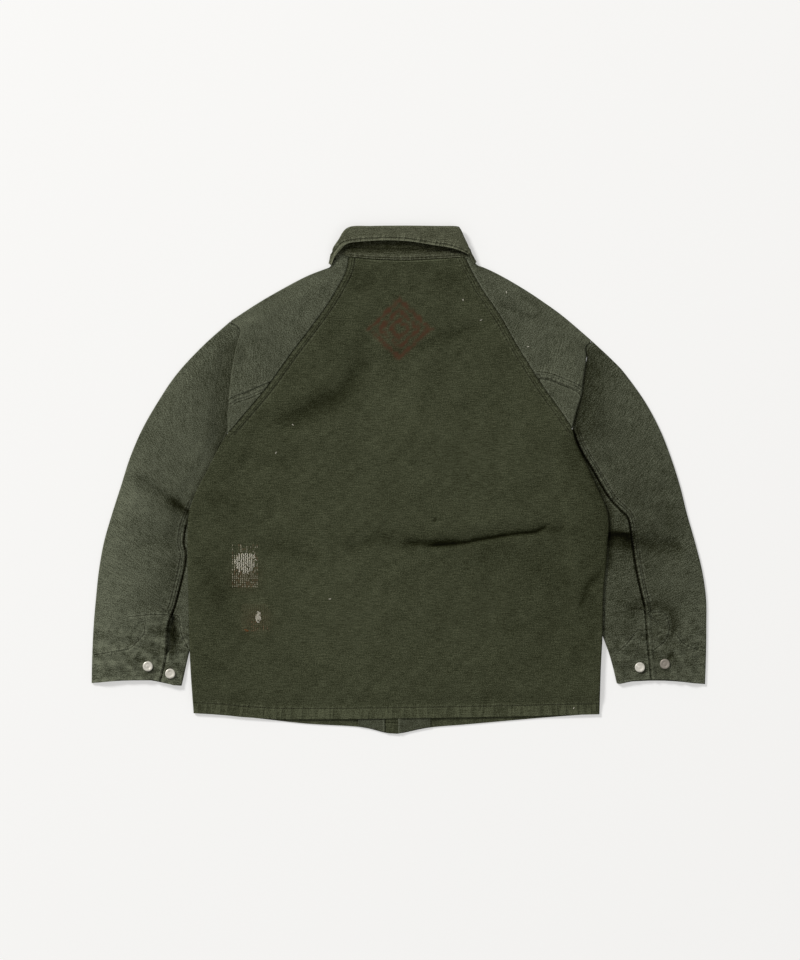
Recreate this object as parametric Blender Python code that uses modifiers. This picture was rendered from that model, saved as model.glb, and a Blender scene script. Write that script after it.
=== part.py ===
"""Raglan work jacket in heavy canvas, laid face down with its back up and its collar turned over.

Every cut piece is a thin wall. The pieces are stacked as they lie: fronts and sleeve fronts on the
floor, sleeve backs on them, and the body over the inner side of each sleeve.
Metres, +Z up, +Y towards the collar, -X is the wearer's left. The origin is on the floor under the middle.
"""

import math

import bmesh
import bpy
import numpy as np

for old in list(bpy.data.objects):
    bpy.data.objects.remove(old)

MM = 0.001

WALL = 1.5 * MM  # the canvas
FACING_WALL = 1.1 * MM
GAP = 0.3 * MM  # between pieces that lie on each other
SEAM = 0.6 * MM  # between pieces that are sewn edge to edge
FLAT_EDGE = 3.6 * MM  # a sleeve's whole height at its pressed edges
BODY_TOP = 6.8 * MM  # the back's upper face above the floor
BODY_EDGE = 2.4 * MM  # radius over which the back turns down at the sides
SLEEVE_LOFT = 2.9 * MM  # what a sleeve gains between its edges
SOFT = 30 * MM  # how far from an edge it has its full loft
OVER_SLEEVE = FLAT_EDGE + GAP  # underside of a front where it lies on a sleeve
LEAF_LIFT = WALL + GAP  # what the collar leaf on the floor lifts the fronts by
TUCK = 12 * MM  # how far the arm runs back under the shoulder's fold
NECK_CLEARANCE = 1.4 * MM  # between the collar and the shoulder pieces' ends
END_CLEARANCE = 2.6 * MM  # what the collar gains on it where it turns to the front
HEM_DEPTH = 16 * MM
HEM_RISE = 0.7 * MM
SNAP_RADIUS = 7.6 * MM
SNAP_HEIGHT = 2.6 * MM

CANVAS_BACK = (0.046, 0.050, 0.027, 1)
CANVAS_SLEEVE = (0.072, 0.077, 0.051, 1)
CANVAS_COLLAR = (0.076, 0.079, 0.050, 1)
SNAP_METAL = (0.62, 0.56, 0.47, 1)


def mm(*points):
    """Points given in millimetres, as an array in metres."""
    return np.array(points, float) * MM


def soft_step(t):
    """0 below 0, 1 above 1, with level ends."""
    t = np.clip(t, 0, 1)
    return t * t * (3 - 2 * t)


class Line:
    """A smooth line in plan through a few points, placed along by its share of the length."""

    def __init__(self, points, steps=16):
        p = np.asarray(points, float)
        ends = np.vstack([2 * p[0] - p[1], p, 2 * p[-1] - p[-2]])
        t = np.linspace(0, 1, steps, endpoint=False)[:, None]
        spans = []
        for a, b, c, d in zip(ends, ends[1:], ends[2:], ends[3:]):
            spans.append(
                0.5
                * (
                    2 * b
                    + (c - a) * t
                    + (2 * a - 5 * b + 4 * c - d) * t**2
                    + (3 * b - a - 3 * c + d) * t**3
                )
            )
        self.points = np.vstack([*spans, p[-1:]])
        steps = np.linalg.norm(np.diff(self.points, axis=0), axis=1)
        self.lengths = np.concatenate([[0], np.cumsum(steps)])

    def at(self, share):
        """The point, or points, at a share of the length."""
        reach = np.asarray(share) * self.lengths[-1]
        return np.stack([np.interp(reach, self.lengths, self.points[:, k]) for k in (0, 1)], -1)

    def beside(self, distance):
        """The line that runs beside this one, on its left hand."""
        run = np.gradient(self.points, axis=0)
        run = run / np.linalg.norm(run, axis=1)[:, None]
        return Line(self.points + distance * np.stack([-run[:, 1], run[:, 0]], 1), steps=1)

    def bow(self, share):
        """How far the line stands off the straight one between its ends."""
        share = np.asarray(share)[:, None]
        return self.at(share[:, 0]) - self.at(0) * (1 - share) - self.at(1) * share

    def x_at(self, y):
        """Where a line that runs down the garment has this y."""
        order = np.argsort(self.points[:, 1])
        return np.interp(y, self.points[order, 1], self.points[order, 0])

    def y_at(self, x):
        """Where a line that runs across the garment has this x."""
        order = np.argsort(self.points[:, 0])
        return np.interp(x, self.points[order, 0], self.points[order, 1])


class Crease:
    """A soft trough along a line, or a ridge where depth is negative. Its two flanks differ in width."""

    def __init__(self, points, depth, left, right):
        self.line = Line(mm(*points))
        self.depth, self.left, self.right = depth * MM, left * MM, right * MM

    def height(self, x, y):
        p, q = self.line.points[:-1], self.line.points[1:]
        run = q - p
        to = np.stack([x, y], -1)[..., None, :] - p
        t = np.clip((to * run).sum(-1) / (run**2).sum(-1), 0, 1)
        off = to - t[..., None] * run
        away = np.linalg.norm(off, axis=-1)
        near = away.argmin(-1)[..., None]
        side = np.take_along_axis(run[:, 0] * off[..., 1] - run[:, 1] * off[..., 0], near, -1)[..., 0]
        distance = np.take_along_axis(away, near, -1)[..., 0]
        along = (near[..., 0] + np.take_along_axis(t, near, -1)[..., 0]) / len(p)
        fade = soft_step(along / 0.2) * soft_step((1 - along) / 0.2)
        width = np.where(side > 0, self.left, self.right)
        return -self.depth * fade * np.exp(-((distance / width) ** 2))


# The outlines, as they lie. Each runs from the collar towards the hem, or from left to right.
NECK = mm((-75, 333.5), (-35, 330), (8, 328.8), (52, 330.5), (98.3, 333.5))
CREASE_ROW = mm((-316, -118), (-200, -113), (-62, -104), (26, -98), (91, -96), (158, -83), (313, -55))
BACK_HEM = mm((-308, -350.5), (-265, -353), (-223, -357), (-140, -359.5), (104, -356.5), (300.6, -352))
FRONT_NECK = mm((-96, 314), (-84, 290), (-52, 268), (-12, 262), (32, 266), (90, 290), (108, 316))
FRONT_HEM = mm(
    (-306, -350), (-223, -357), (-140, -366), (-60, -371), (-22, -379.5), (-10, -380.9), (4, -380.5),
    (46, -372), (104, -367), (212, -357.5), (298.6, -351)
)
COLLAR_FOLD = mm(
    (-99, 338.5), (-99.5, 346), (-91.5, 358.5), (-76, 378), (-40, 380), (8, 380.5), (60, 380), (90, 378.5),
    (98, 363), (104.5, 349), (105.5, 338.5)
)
COLLAR_LEAF = mm(
    (-101.5, 321), (-96, 339), (-85, 351.5), (-65, 356), (-24, 358.5), (10, 357.5), (44, 352.5), (76, 347.5),
    (97, 340), (107, 333), (111.5, 323)
)
LEFT_CENTRE_EDGE = -3.5 * MM
RIGHT_CENTRE_EDGE = -20 * MM
LAP_END = 8 * MM  # where the right front is back on the floor beside the left one


class Side:
    """The lines of one side of the jacket. sign is -1 on the wearer's left."""

    def __init__(self, sign, **lines):
        self.sign = sign
        self.collar_lean = 0.2 if sign < 0 else 0.5  # radians by which the collar's end leans in
        for name, points in lines.items():
            setattr(self, name, Line(mm(*points)))


LEFT = Side(
    -1,
    raglan=[
        (-75, 333.5), (-79, 313), (-92, 287), (-109, 259), (-134.5, 224), (-163, 186.5), (-191, 147),
        (-210, 123), (-229, 101), (-246.5, 80), (-256.5, 70)
    ],
    raglan_to_seam=[
        (-75, 333.5), (-79, 313), (-92, 287), (-109, 259), (-134.5, 224), (-163, 186.5), (-191, 147)
    ],
    seam_to_underarm=[(-191, 147), (-210, 123), (-229, 101), (-246.5, 80), (-256.5, 70)],
    body_edge=[
        (-256.5, 70), (-273.5, 41), (-289.5, 9.5), (-305, -20), (-314.5, -49), (-317, -80), (-317, -112),
        (-315.5, -188), (-314, -248), (-312.5, -286), (-308, -350.5)
    ],
    neck_edge=[(-75, 333.5), (-86, 336), (-95, 331), (-101.5, 319)],
    shoulder_seam=[(-191, 147), (-212, 138), (-230, 130), (-246, 125), (-255.5, 119)],
    shoulder_fold=[(-252, 238), (-238, 226), (-243, 205), (-249, 175), (-253.5, 141), (-255.5, 119)],
    head_fold=[(-255.5, 119), (-257, 96), (-256.5, 70)],
    front_raglan=[(-96, 314), (-106, 288), (-128, 244), (-158, 196), (-196, 142), (-230, 96), (-251.5, 73)],
    shoulder_outline=[(-101.5, 319), (-138, 305), (-177, 284.5), (-213, 263.5), (-252, 238)],
    arm_outline=[
        (-252, 238), (-294, 200.5), (-333, 158.5), (-361.5, 116.5), (-385.5, 74.5), (-403.5, 32.5),
        (-417, -10), (-430.5, -52), (-442.5, -94), (-450, -136), (-454.5, -178), (-458, -220),
        (-460, -262), (-461, -304)
    ],
    back_seam=[
        (-257, 70), (-268, 42), (-284, 8), (-300, -22), (-312, -50), (-320, -73), (-322.5, -95),
        (-319, -108), (-320, -124), (-324, -145), (-329, -165), (-335, -189), (-341.5, -205),
        (-346.5, -221), (-347.7, -245), (-350, -270), (-358, -303)
    ],
    inner_fold=[
        (-254, 68), (-256.5, 52), (-261, 36), (-267, 0), (-274, -50), (-281, -100), (-288, -150),
        (-296, -195), (-305, -230), (-314.3, -259), (-321, -287), (-326, -306)
    ],
    front_seam=[
        (-255.5, 68), (-268, 36), (-282, 0), (-294, -50), (-301, -100), (-309, -150), (-317, -200),
        (-327, -250), (-338, -305)
    ],
)
RIGHT = Side(
    1,
    raglan=[
        (98.3, 333.5), (109, 312), (125.5, 283), (150.5, 246.5), (176, 202), (207.5, 151.7), (226, 125),
        (245.5, 98), (259, 77)
    ],
    raglan_to_seam=[(98.3, 333.5), (109, 312), (125.5, 283), (150.5, 246.5), (176, 202), (207.5, 151.7)],
    seam_to_underarm=[(207.5, 151.7), (226, 125), (245.5, 98), (259, 77)],
    body_edge=[
        (259, 77), (267, 52), (285, 16), (300, -17), (310.5, -41), (314.5, -65), (313, -90),
        (311.5, -122), (307, -163), (305.5, -213), (305, -238), (302.5, -286), (300.6, -352)
    ],
    neck_edge=[(98.3, 333.5), (105, 332.5), (110, 328.5), (113, 320.5)],
    shoulder_seam=[(207.5, 151.7), (225, 149), (243, 142), (258, 136), (269, 130), (273, 124)],
    shoulder_fold=[(288, 209), (280, 200), (281, 184), (277, 156), (273, 124)],
    head_fold=[(273, 124), (266, 103), (259, 77)],
    front_raglan=[(108, 316), (116, 290), (138, 246), (168, 198), (206, 144), (238, 100), (254, 80)],
    shoulder_outline=[
        (112.4, 319.8), (124, 319), (153, 305.5), (189, 284.5), (220.5, 263.5), (249, 242.5), (288, 209)
    ],
    arm_outline=[
        (288, 209), (319.5, 179.5), (339, 158.5), (369, 116.5), (391.5, 74.5), (408, 32.5),
        (421.5, -10), (432, -52), (444, -94), (454.5, -136), (460.5, -178), (461, -220), (460.5, -262),
        (459, -305)
    ],
    back_seam=[
        (260.5, 76), (272.7, 44.3), (291, 13.5), (311, -21), (320, -34), (331, -45), (343.5, -59.5),
        (349.5, -93), (354.3, -128), (362, -166), (368.6, -194.5), (371.7, -238.5), (378, -302)
    ],
    inner_fold=[
        (256, 75), (258.5, 60), (263, 42), (268, 0), (277, -50), (284, -100), (290, -150), (296, -195),
        (302, -225), (308, -241.7), (314.7, -260), (321, -282), (326.5, -305)
    ],
    front_seam=[
        (257.5, 75), (268, 40), (282, 4), (296, -50), (303, -100), (311, -150), (319, -200),
        (330, -250), (340, -305)
    ],
)

# What shows of the largest folds, read along each crease: depth, then the widths of its two flanks.
BACK_CREASES = [
    Crease([(26, -98), (91, -96), (121, -89), (158, -83), (205, -77), (228, -63)], 2.3, 15, 6),
    Crease([(-116, -114), (-62, -103), (-28, -92), (32, -97)], 1.3, 13, 8),
    Crease([(-226, 93), (-158, 91), (-116, 120), (-68, 139), (-50, 187), (-28, 217)], 1.7, 14, 20),
    Crease([(-28, 178), (31, 198), (84, 217), (136, 238)], 1.0, 15, 12),
    Crease([(-292, -118), (-268, -158), (-246, -206)], 1.3, 14, 12),
    Crease([(-172, -112), (-190, -100), (-210, -106)], 1.0, 14, 14),
    Crease([(272, -190), (283, -158), (305, -136)], 0.9, 8, 10),
]
SHOULDER_CREASES = [
    Crease([(-84, 290), (-55, 300), (-26, 302)], 0.7, 12, 12),
    Crease([(-235, 190), (-222, 150), (-236, 128)], -0.5, 14, 14),
]
ARM_CREASES = [
    Crease([(-403, 14), (-372, -14), (-346, -32), (-312, -50)], 1.7, 13, 15),
    Crease([(-420, -42), (-372, -50), (-322, -66)], -0.5, 18, 18),
    Crease([(-414, -94), (-370, -98), (-330, -96)], 1.0, 12, 12),
    Crease([(-404, -186), (-372, -184), (-340, -192)], 0.8, 9, 9),
    Crease([(308, -86), (340, -88), (376, -90), (416, -98), (428, -124)], 1.9, 15, 17),
    Crease([(318, -50), (352, -54), (392, -62)], -0.6, 14, 14),
    Crease([(330, -206), (362, -190), (402, -194), (414, -220), (404, -244)], 1.0, 11, 11),
    Crease([(300, 188), (318, 128), (324, 66), (352, 6), (354, -28)], -0.7, 12, 16),
]


def creased(creases, x, y):
    return sum(crease.height(x, y) for crease in creases)


def above_leaf(x, y):
    """1 where a piece lies on the collar leaf that is spread on the floor, and 0 away from it."""
    return soft_step((150 * MM - abs(x - 6 * MM)) / (26 * MM)) * soft_step((y - 206 * MM) / (26 * MM))


def side_distance(x, y):
    """How far a point is inside the body's two side edges."""
    return np.minimum(x - LEFT.body_edge.x_at(y), RIGHT.body_edge.x_at(y) - x)


def front_edge_x(side, y):
    """The outer edge of a front: its raglan seam, then clear of the sleeve, then the body's side."""
    seam = side.front_raglan
    inner = side.inner_fold.x_at(y) - side.sign * 1 * MM
    body = side.body_edge.x_at(y) - side.sign * (BODY_EDGE + GAP)
    below = inner + (body - inner) * soft_step((seam.points[-1, 1] - 22 * MM - y) / (10 * MM))
    return np.where(y > seam.points[-1, 1], seam.x_at(y), below)


def front_under(side, x, y, margin=0):
    """The lower face of a front: on the floor, and up over the sleeve that runs in under its side."""
    end = side.front_raglan.points[-1, 1]
    reach = side.sign * (x - side.inner_fold.x_at(y)) + 27 * MM + margin
    rise = soft_step((end + margin - y) / (20 * MM)) * soft_step((y + 342 * MM) / (30 * MM))
    return OVER_SLEEVE * rise * soft_step(reach / (14 * MM)) + LEAF_LIFT * above_leaf(x, y)


def body_top(x, y):
    """The upper face of the back, and of what is sewn level with it."""
    beside_sleeve = soft_step((130 * MM - y) / (60 * MM)) * soft_step((y + 350 * MM) / (30 * MM))
    at_side = 1 - soft_step(side_distance(x, y) / (70 * MM))
    neck = 0.6 * MM * soft_step((y - 190 * MM) / (60 * MM))
    hem = 1.6 * MM * soft_step((-315 * MM - y) / (35 * MM))
    folds = creased(BACK_CREASES + SHOULDER_CREASES, x, y)
    side_rise = 1.1 * MM * beside_sleeve * at_side
    least = np.where(x < 0, front_under(LEFT, x, y, 12 * MM), front_under(RIGHT, x, y, 12 * MM))
    return np.maximum(BODY_TOP + neck - hem + side_rise + folds, least + 2 * WALL + 1.5 * GAP)


def lap(x):
    """What the right front gains where it lies on the left one, at the middle."""
    return (WALL + GAP) * np.clip((LAP_END - x) / (LAP_END + 3 * MM), 0, 1)


def cover_line(side, y):
    """The edge that lies over the sleeve: the shoulder's fold, and below it the side of the body."""
    fold = np.where(y > side.shoulder_fold.points[-1, 1], side.shoulder_fold.x_at(y), side.head_fold.x_at(y))
    return np.where(y > side.body_edge.points[0, 1], fold, side.body_edge.x_at(y))


def arm_top(side, x, y, from_outline):
    """The upper face of a sleeve below the shoulder: pressed flat at its edge and under the body."""
    clear = side.sign * (x - cover_line(side, y)) - 2 * MM
    loft = SLEEVE_LOFT * soft_step(from_outline / SOFT) * soft_step(clear / SOFT)
    free = soft_step(from_outline / SOFT) * soft_step(clear / (12 * MM))
    height = FLAT_EDGE + loft + free * creased(ARM_CREASES, x, y)
    return np.clip(height, FLAT_EDGE, FLAT_EDGE + SLEEVE_LOFT + 0.6 * MM)


def cloth_material(name, colour, roughness=0.9, metallic=0.0):
    material = bpy.data.materials.new(name)
    material.use_nodes = True
    shader = material.node_tree.nodes["Principled BSDF"]
    shader.inputs["Base Color"].default_value = colour
    shader.inputs["Roughness"].default_value = roughness
    shader.inputs["Metallic"].default_value = metallic
    material.diffuse_color = colour
    return material


def sheet_of_rows(name, rows, wall, material, flip=False):
    """A cloth piece: its outer face lofted through rows of points, and Solidify for the wall behind it."""
    rows = np.asarray(rows, float)
    mesh = bpy.data.meshes.new(name)
    shape = bmesh.new()
    grid = [[shape.verts.new(point) for point in row] for row in rows]
    for upper, lower in zip(grid, grid[1:]):
        for a, b, c, d in zip(upper, upper[1:], lower[1:], lower):
            shape.faces.new((a, b, c, d) if flip else (a, d, c, b))
    shape.to_mesh(mesh)
    shape.free()
    mesh.materials.append(material)
    mesh.shade_smooth()
    mesh.set_sharp_from_angle(angle=math.radians(50))
    piece = bpy.data.objects.new(name, mesh)
    jacket.objects.link(piece)
    solid = piece.modifiers.new("wall", "SOLIDIFY")
    solid.thickness = wall
    solid.offset = -1
    solid.use_quality_normals = True
    return piece


def back_panel():
    """One piece from the neck to the hem, turned down round the sides, with a doubled hem."""
    neck, crease, hem = Line(NECK), Line(CREASE_ROW), Line(BACK_HEM)
    across = np.linspace(0, 1, 20)

    def key_row(line):
        return line.y_at(line.points[0, 0] + across * (line.points[-1, 0] - line.points[0, 0]))

    top, middle, bottom = key_row(neck), key_row(crease), key_row(hem)
    stitched = bottom + HEM_DEPTH
    heights = [top + (middle - top) * t for t in [0, 0.02, 0.045, 0.08, *np.linspace(0.125, 0.95, 14)]]
    heights += [middle + 12 * MM, middle, middle - 7 * MM]
    heights += [middle + (stitched - middle) * t for t in np.linspace(0.12, 0.9, 6)]
    heights += [stitched + 1 * MM, stitched - 1 * MM, bottom]
    rows = []
    for count, y in enumerate(heights):
        ends = []
        for side, end_y in ((LEFT, y[0]), (RIGHT, y[-1])):
            on_seam = end_y > side.body_edge.points[0, 1]
            edge = side.raglan if on_seam else side.body_edge
            drop = BODY_EDGE * soft_step((side.body_edge.points[0, 1] - end_y) / (30 * MM))
            ends.append((edge.x_at(end_y), drop))
        (left, drop_left), (right, drop_right) = ends
        x = left + BODY_EDGE + across * (right - left - 2 * BODY_EDGE)
        z = body_top(x, y) + HEM_RISE * (count >= len(heights) - 2)
        lead, tail = [], []
        for a in (math.pi / 2, math.pi / 4):
            inset, fall = BODY_EDGE * (1 - math.sin(a)), 1 - math.cos(a)
            lead.append((left + inset, y[0], z[0] - drop_left * fall))
            tail.insert(0, (right - inset, y[-1], z[-1] - drop_right * fall))
        rows.append([*lead, *zip(x, y, z), *tail])
    sheet_of_rows("back_panel", rows, WALL, canvas_back)


def front_rows(side):
    """Where the rows of a front end on its outer edge: closer together under the arm."""
    top = (FRONT_NECK[0] if side.sign < 0 else FRONT_NECK[-1])[1]
    low = (FRONT_HEM[0] if side.sign < 0 else FRONT_HEM[-1])[1]
    under = side.front_raglan.points[-1, 1]
    rows = [*np.linspace(top, under + 4 * MM, 13), under - 6 * MM, under - 14 * MM, under - 22 * MM]
    rows += [under - 32 * MM, *np.linspace(under - 60 * MM, -312 * MM, 9), -327 * MM, low]
    return np.array(rows), (top - np.array(rows)) / (top - low)


def front_panel(name, side, centre_edge):
    """A front lies on the floor, from its neck edge to its hem. The right one laps over the left."""
    hem, neck = Line(FRONT_HEM), Line(FRONT_NECK)
    end = 0 if side.sign < 0 else -1
    top_x, low_x = FRONT_NECK[end][0], FRONT_HEM[end][0]
    inner_edge = LAP_END if side.sign > 0 else centre_edge
    columns = np.array([0, 0.03, 0.07, 0.11, 0.15, 0.2, 0.3, 0.5, 0.75, 1])
    last = [-3 * MM, centre_edge] if side.sign > 0 else []
    rows = []
    for outer_y, t in zip(*front_rows(side)):
        outer_x = low_x if t == 1 else float(front_edge_x(side, outer_y))
        x = np.append(outer_x + (inner_edge - outer_x) * columns, last)
        over = np.append(top_x + (inner_edge - top_x) * columns, last)
        below = np.append(low_x + (inner_edge - low_x) * columns, last)
        y = neck.y_at(over) * (1 - t) + hem.y_at(below) * t
        z = front_under(side, x, y) + (lap(x) if side.sign > 0 else 0)
        rows.append(list(zip(x, y, z)))
    sheet_of_rows(name, rows, WALL, canvas_back, flip=side.sign < 0)


def facing(name, side, outer_edge, inner_edge):
    """The strip inside a front's centre edge. It shows only where the front hangs below the back hem."""
    hem, neck = Line(FRONT_HEM), Line(FRONT_NECK)
    x = np.linspace(outer_edge, inner_edge, 4)
    rows = []
    for t in front_rows(side)[1]:
        y = neck.y_at(x) * (1 - t) + hem.y_at(x) * t
        y = y - 6 * MM * (t == 0) + 1 * MM * (t == 1)
        z = front_under(side, x, y) + WALL + 2 * GAP + FACING_WALL
        rows.append(list(zip(x, y, z)))
    sheet_of_rows(name, rows, FACING_WALL, canvas_sleeve)


def rounded_edge(outline, inward, low, high):
    """Points round a pressed fold, from the upper face to the lower."""
    radius = (high - low) / 2
    found = []
    for angle in (45, 0, -45):
        a = math.radians(angle)
        found.append((*(outline + inward * radius * (1 - math.cos(a))), low + radius * (1 + math.sin(a))))
    return found


def unit(v):
    return v / np.linalg.norm(v)


def shoulder(side):
    """The shoulder piece: from the raglan seam over the pressed top edge to the front raglan seam."""
    name = "shoulder_left" if side.sign < 0 else "shoulder_right"
    sewn = Line(np.vstack([side.raglan_to_seam.points, side.shoulder_seam.points[1:]]), steps=1)
    seam = sewn.beside(side.sign * SEAM)
    front_edge = side.front_raglan.beside(side.sign * SEAM)
    rows = []
    for t, drop in [*[(t, 0) for t in np.linspace(0, 0.94, 16)], (0.984, 0), (0.9955, 0.3), (1, 1)]:
        outline, inner, front = side.shoulder_outline.at(t), seam.at(t), front_edge.at(t)
        low = LEAF_LIFT * above_leaf(*outline)
        edge = FLAT_EDGE + low
        inward = unit(inner - outline)
        s = np.linspace(1, 0, 9)[:, None]
        flat = outline + inward * FLAT_EDGE / 2
        plan = flat + (inner - flat) * s
        plan = plan + side.shoulder_fold.bow(s[:, 0]) * soft_step((t - 0.45) / 0.55)
        plan = plan + side.neck_edge.bow(1 - s[:, 0]) * soft_step(1 - t / 0.09)
        from_outline = np.linalg.norm(plan - outline, axis=1)
        z = edge + (body_top(plan[:, 0], plan[:, 1]) - edge) * soft_step(from_outline / (26 * MM))
        z = z - drop * BODY_EDGE * soft_step(s[:, 0] / 0.3)
        share = np.linspace(0, 1, 5)[:, None]
        base = flat + (front - flat) * share
        base_z = LEAF_LIFT * above_leaf(base[:, 0], base[:, 1])
        base_z[0] = low
        row = [(*p, h) for p, h in zip(plan, z)]
        row += rounded_edge(outline, inward, low, edge)
        row += [(*p, h) for p, h in zip(base, base_z)]
        clear = NECK_CLEARANCE * (t == 0)
        rows.append([(x + side.sign * clear / 2, y - clear, h) for x, y, h in row])
    sheet_of_rows(name, rows, WALL, canvas_sleeve, flip=side.sign < 0)


def sleeve_head(side):
    """The corner of the arm piece that lies level with the back, between the two seams and the fold."""
    name = "sleeve_head_left" if side.sign < 0 else "sleeve_head_right"
    upper = side.shoulder_seam.beside(-side.sign * 0.1 * MM)
    lower = side.seam_to_underarm.beside(side.sign * SEAM)
    rows = []
    for t, drop in [(0.06, 0), (0.25, 0), (0.45, 0), (0.65, 0), (0.82, 0), (0.963, 0), (0.989, 0.3), (1, 1)]:
        above, below = upper.at(t), lower.at(t)
        s = np.linspace(0, 1, 6)[:, None]
        plan = above + (below - above) * s + side.head_fold.bow(s[:, 0]) * t
        z = body_top(plan[:, 0], plan[:, 1]) - drop * BODY_EDGE
        rows.append([(*p, h) for p, h in zip(plan, z)])
    sheet_of_rows(name, rows, WALL, canvas_sleeve, flip=side.sign > 0)


SLEEVE_ROWS = [0.0, 0.02, *np.linspace(0.045, 0.972, 18), 1.0]


def slit_gap(side, y):
    """How far the two lips of the left cuff's opening stand apart. The right one is shut."""
    if side.sign > 0:
        return 0
    return 17 * MM * soft_step((-198 * MM - y) / (22 * MM)) * soft_step((y + 272 * MM) / (38 * MM))


def upper_sleeve(side):
    """The arm from under the shoulder's fold to the cuff, round its pressed outer edge."""
    name = "upper_sleeve_left" if side.sign < 0 else "upper_sleeve_right"
    fold = Line(np.vstack([side.shoulder_fold.points, side.head_fold.points[1:]]), steps=1)
    front_edge = side.front_seam.beside(side.sign * SEAM)
    rows = []
    for t in SLEEVE_ROWS:
        outline, seam, front = side.arm_outline.at(t), side.back_seam.at(t), front_edge.at(t)
        if t == 0:
            outline = outline + unit(side.arm_outline.at(0.01) - outline) * 2 * SEAM
            front = front + (side.sign * 3 * SEAM, 0)
        inward = unit(seam - outline)
        s = np.linspace(1, 0, 11)[:, None]
        flat = outline + inward * FLAT_EDGE / 2
        plan = flat + (seam - flat) * s
        plan = plan + fold.bow(s[:, 0]) * soft_step(1 - t / 0.22)
        tuck = TUCK * soft_step((s[:, 0] - 0.2) / 0.3) * soft_step((1 - s[:, 0]) / 0.15)
        plan[:, 0] -= side.sign * tuck * soft_step(1 - t / 0.1)
        z = arm_top(side, plan[:, 0], plan[:, 1], np.linalg.norm(plan - outline, axis=1))
        base = flat + (front - flat) * np.linspace(0, 1, 4)[:, None]
        row = [(*p, h) for p, h in zip(plan, z)]
        row += rounded_edge(outline, inward, 0, FLAT_EDGE)
        row += [(*p, 0) for p in base]
        rows.append(row)
    sheet_of_rows(name, rows, WALL, canvas_sleeve, flip=side.sign < 0)


def under_sleeve(side):
    """The narrow piece of the arm, round its inner fold. Most of it runs in under the body."""
    name = "under_sleeve_left" if side.sign < 0 else "under_sleeve_right"
    sewn = side.back_seam.beside(-side.sign * SEAM)
    rows = []
    for t in SLEEVE_ROWS[1:]:
        lip, inner, front, outline = (
            line.at(t) for line in (sewn, side.inner_fold, side.front_seam, side.arm_outline)
        )
        lip = lip - (side.sign * slit_gap(side, lip[1]), 0)
        outward = unit(lip - inner)
        flat = inner + outward * FLAT_EDGE / 2
        plan = lip + (flat - lip) * np.linspace(0, 1, 5)[:, None]
        z = arm_top(side, plan[:, 0], plan[:, 1], np.linalg.norm(plan - outline, axis=1))
        base = flat + (front - flat) * np.linspace(0, 1, 3)[:, None]
        row = [(*p, h) for p, h in zip(plan, z)]
        row += rounded_edge(inner, outward, 0, FLAT_EDGE)
        row += [(*p, 0) for p in base]
        rows.append(row)
    sheet_of_rows(name, rows, WALL, canvas_sleeve, flip=side.sign > 0)


def snap(name, x, y, side):
    """The domed cap of a press stud, on the cuff."""
    outline = side.arm_outline.x_at(y)
    place = arm_top(side, np.array(x), np.array(y), abs(x - outline))
    profile = [(0, 1.0), (0.45, 0.97), (0.8, 0.78), (0.97, 0.42), (1.0, 0.0), (0, 0.0)]
    mesh = bpy.data.meshes.new(name)
    shape = bmesh.new()
    ring = [shape.verts.new((SNAP_RADIUS * r, 0, SNAP_HEIGHT * h)) for r, h in profile]
    for a, b in zip(ring, ring[1:]):
        shape.edges.new((a, b))
    shape.to_mesh(mesh)
    shape.free()
    mesh.materials.append(snap_metal)
    cap = bpy.data.objects.new(name, mesh)
    jacket.objects.link(cap)
    turned = cap.modifiers.new("turned", "SCREW")
    turned.steps = turned.render_steps = 16
    turned.use_merge_vertices = True
    turned.merge_threshold = 0.00005
    turned.use_smooth_shade = True
    cap.location = (x, y, float(place) + GAP + 0.15 * MM)
    return cap


def collar_section(seam, fold, leaf, normal, inner_height, gap):
    """A hairpin of one thickness: up the stand, round the fold and back along the leaf."""
    along = np.append(fold - seam, 0)
    length = np.linalg.norm(along)
    along = along / length
    radius = WALL + gap / 2
    straight = length - radius
    fall = np.linalg.norm(fold - leaf) - radius
    outer = [(0, 0), (straight / 2, 0)]
    inner = [(0, WALL), (straight / 2, WALL)]
    for angle in range(-90, 91, 30):
        a = math.radians(angle)
        outer.append((straight + radius * math.cos(a), radius + radius * math.sin(a)))
        inner.append((straight + (radius - WALL) * math.cos(a), radius + (radius - WALL) * math.sin(a)))
    outer += [(straight - fall / 2, 2 * radius), (straight - fall, 2 * radius)]
    inner += [(straight - fall / 2, 2 * radius - WALL), (straight - fall, 2 * radius - WALL)]
    start = np.array([*seam, inner_height])
    return [start + along * a + np.array(normal) * b for a, b in outer + inner[::-1]]


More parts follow.
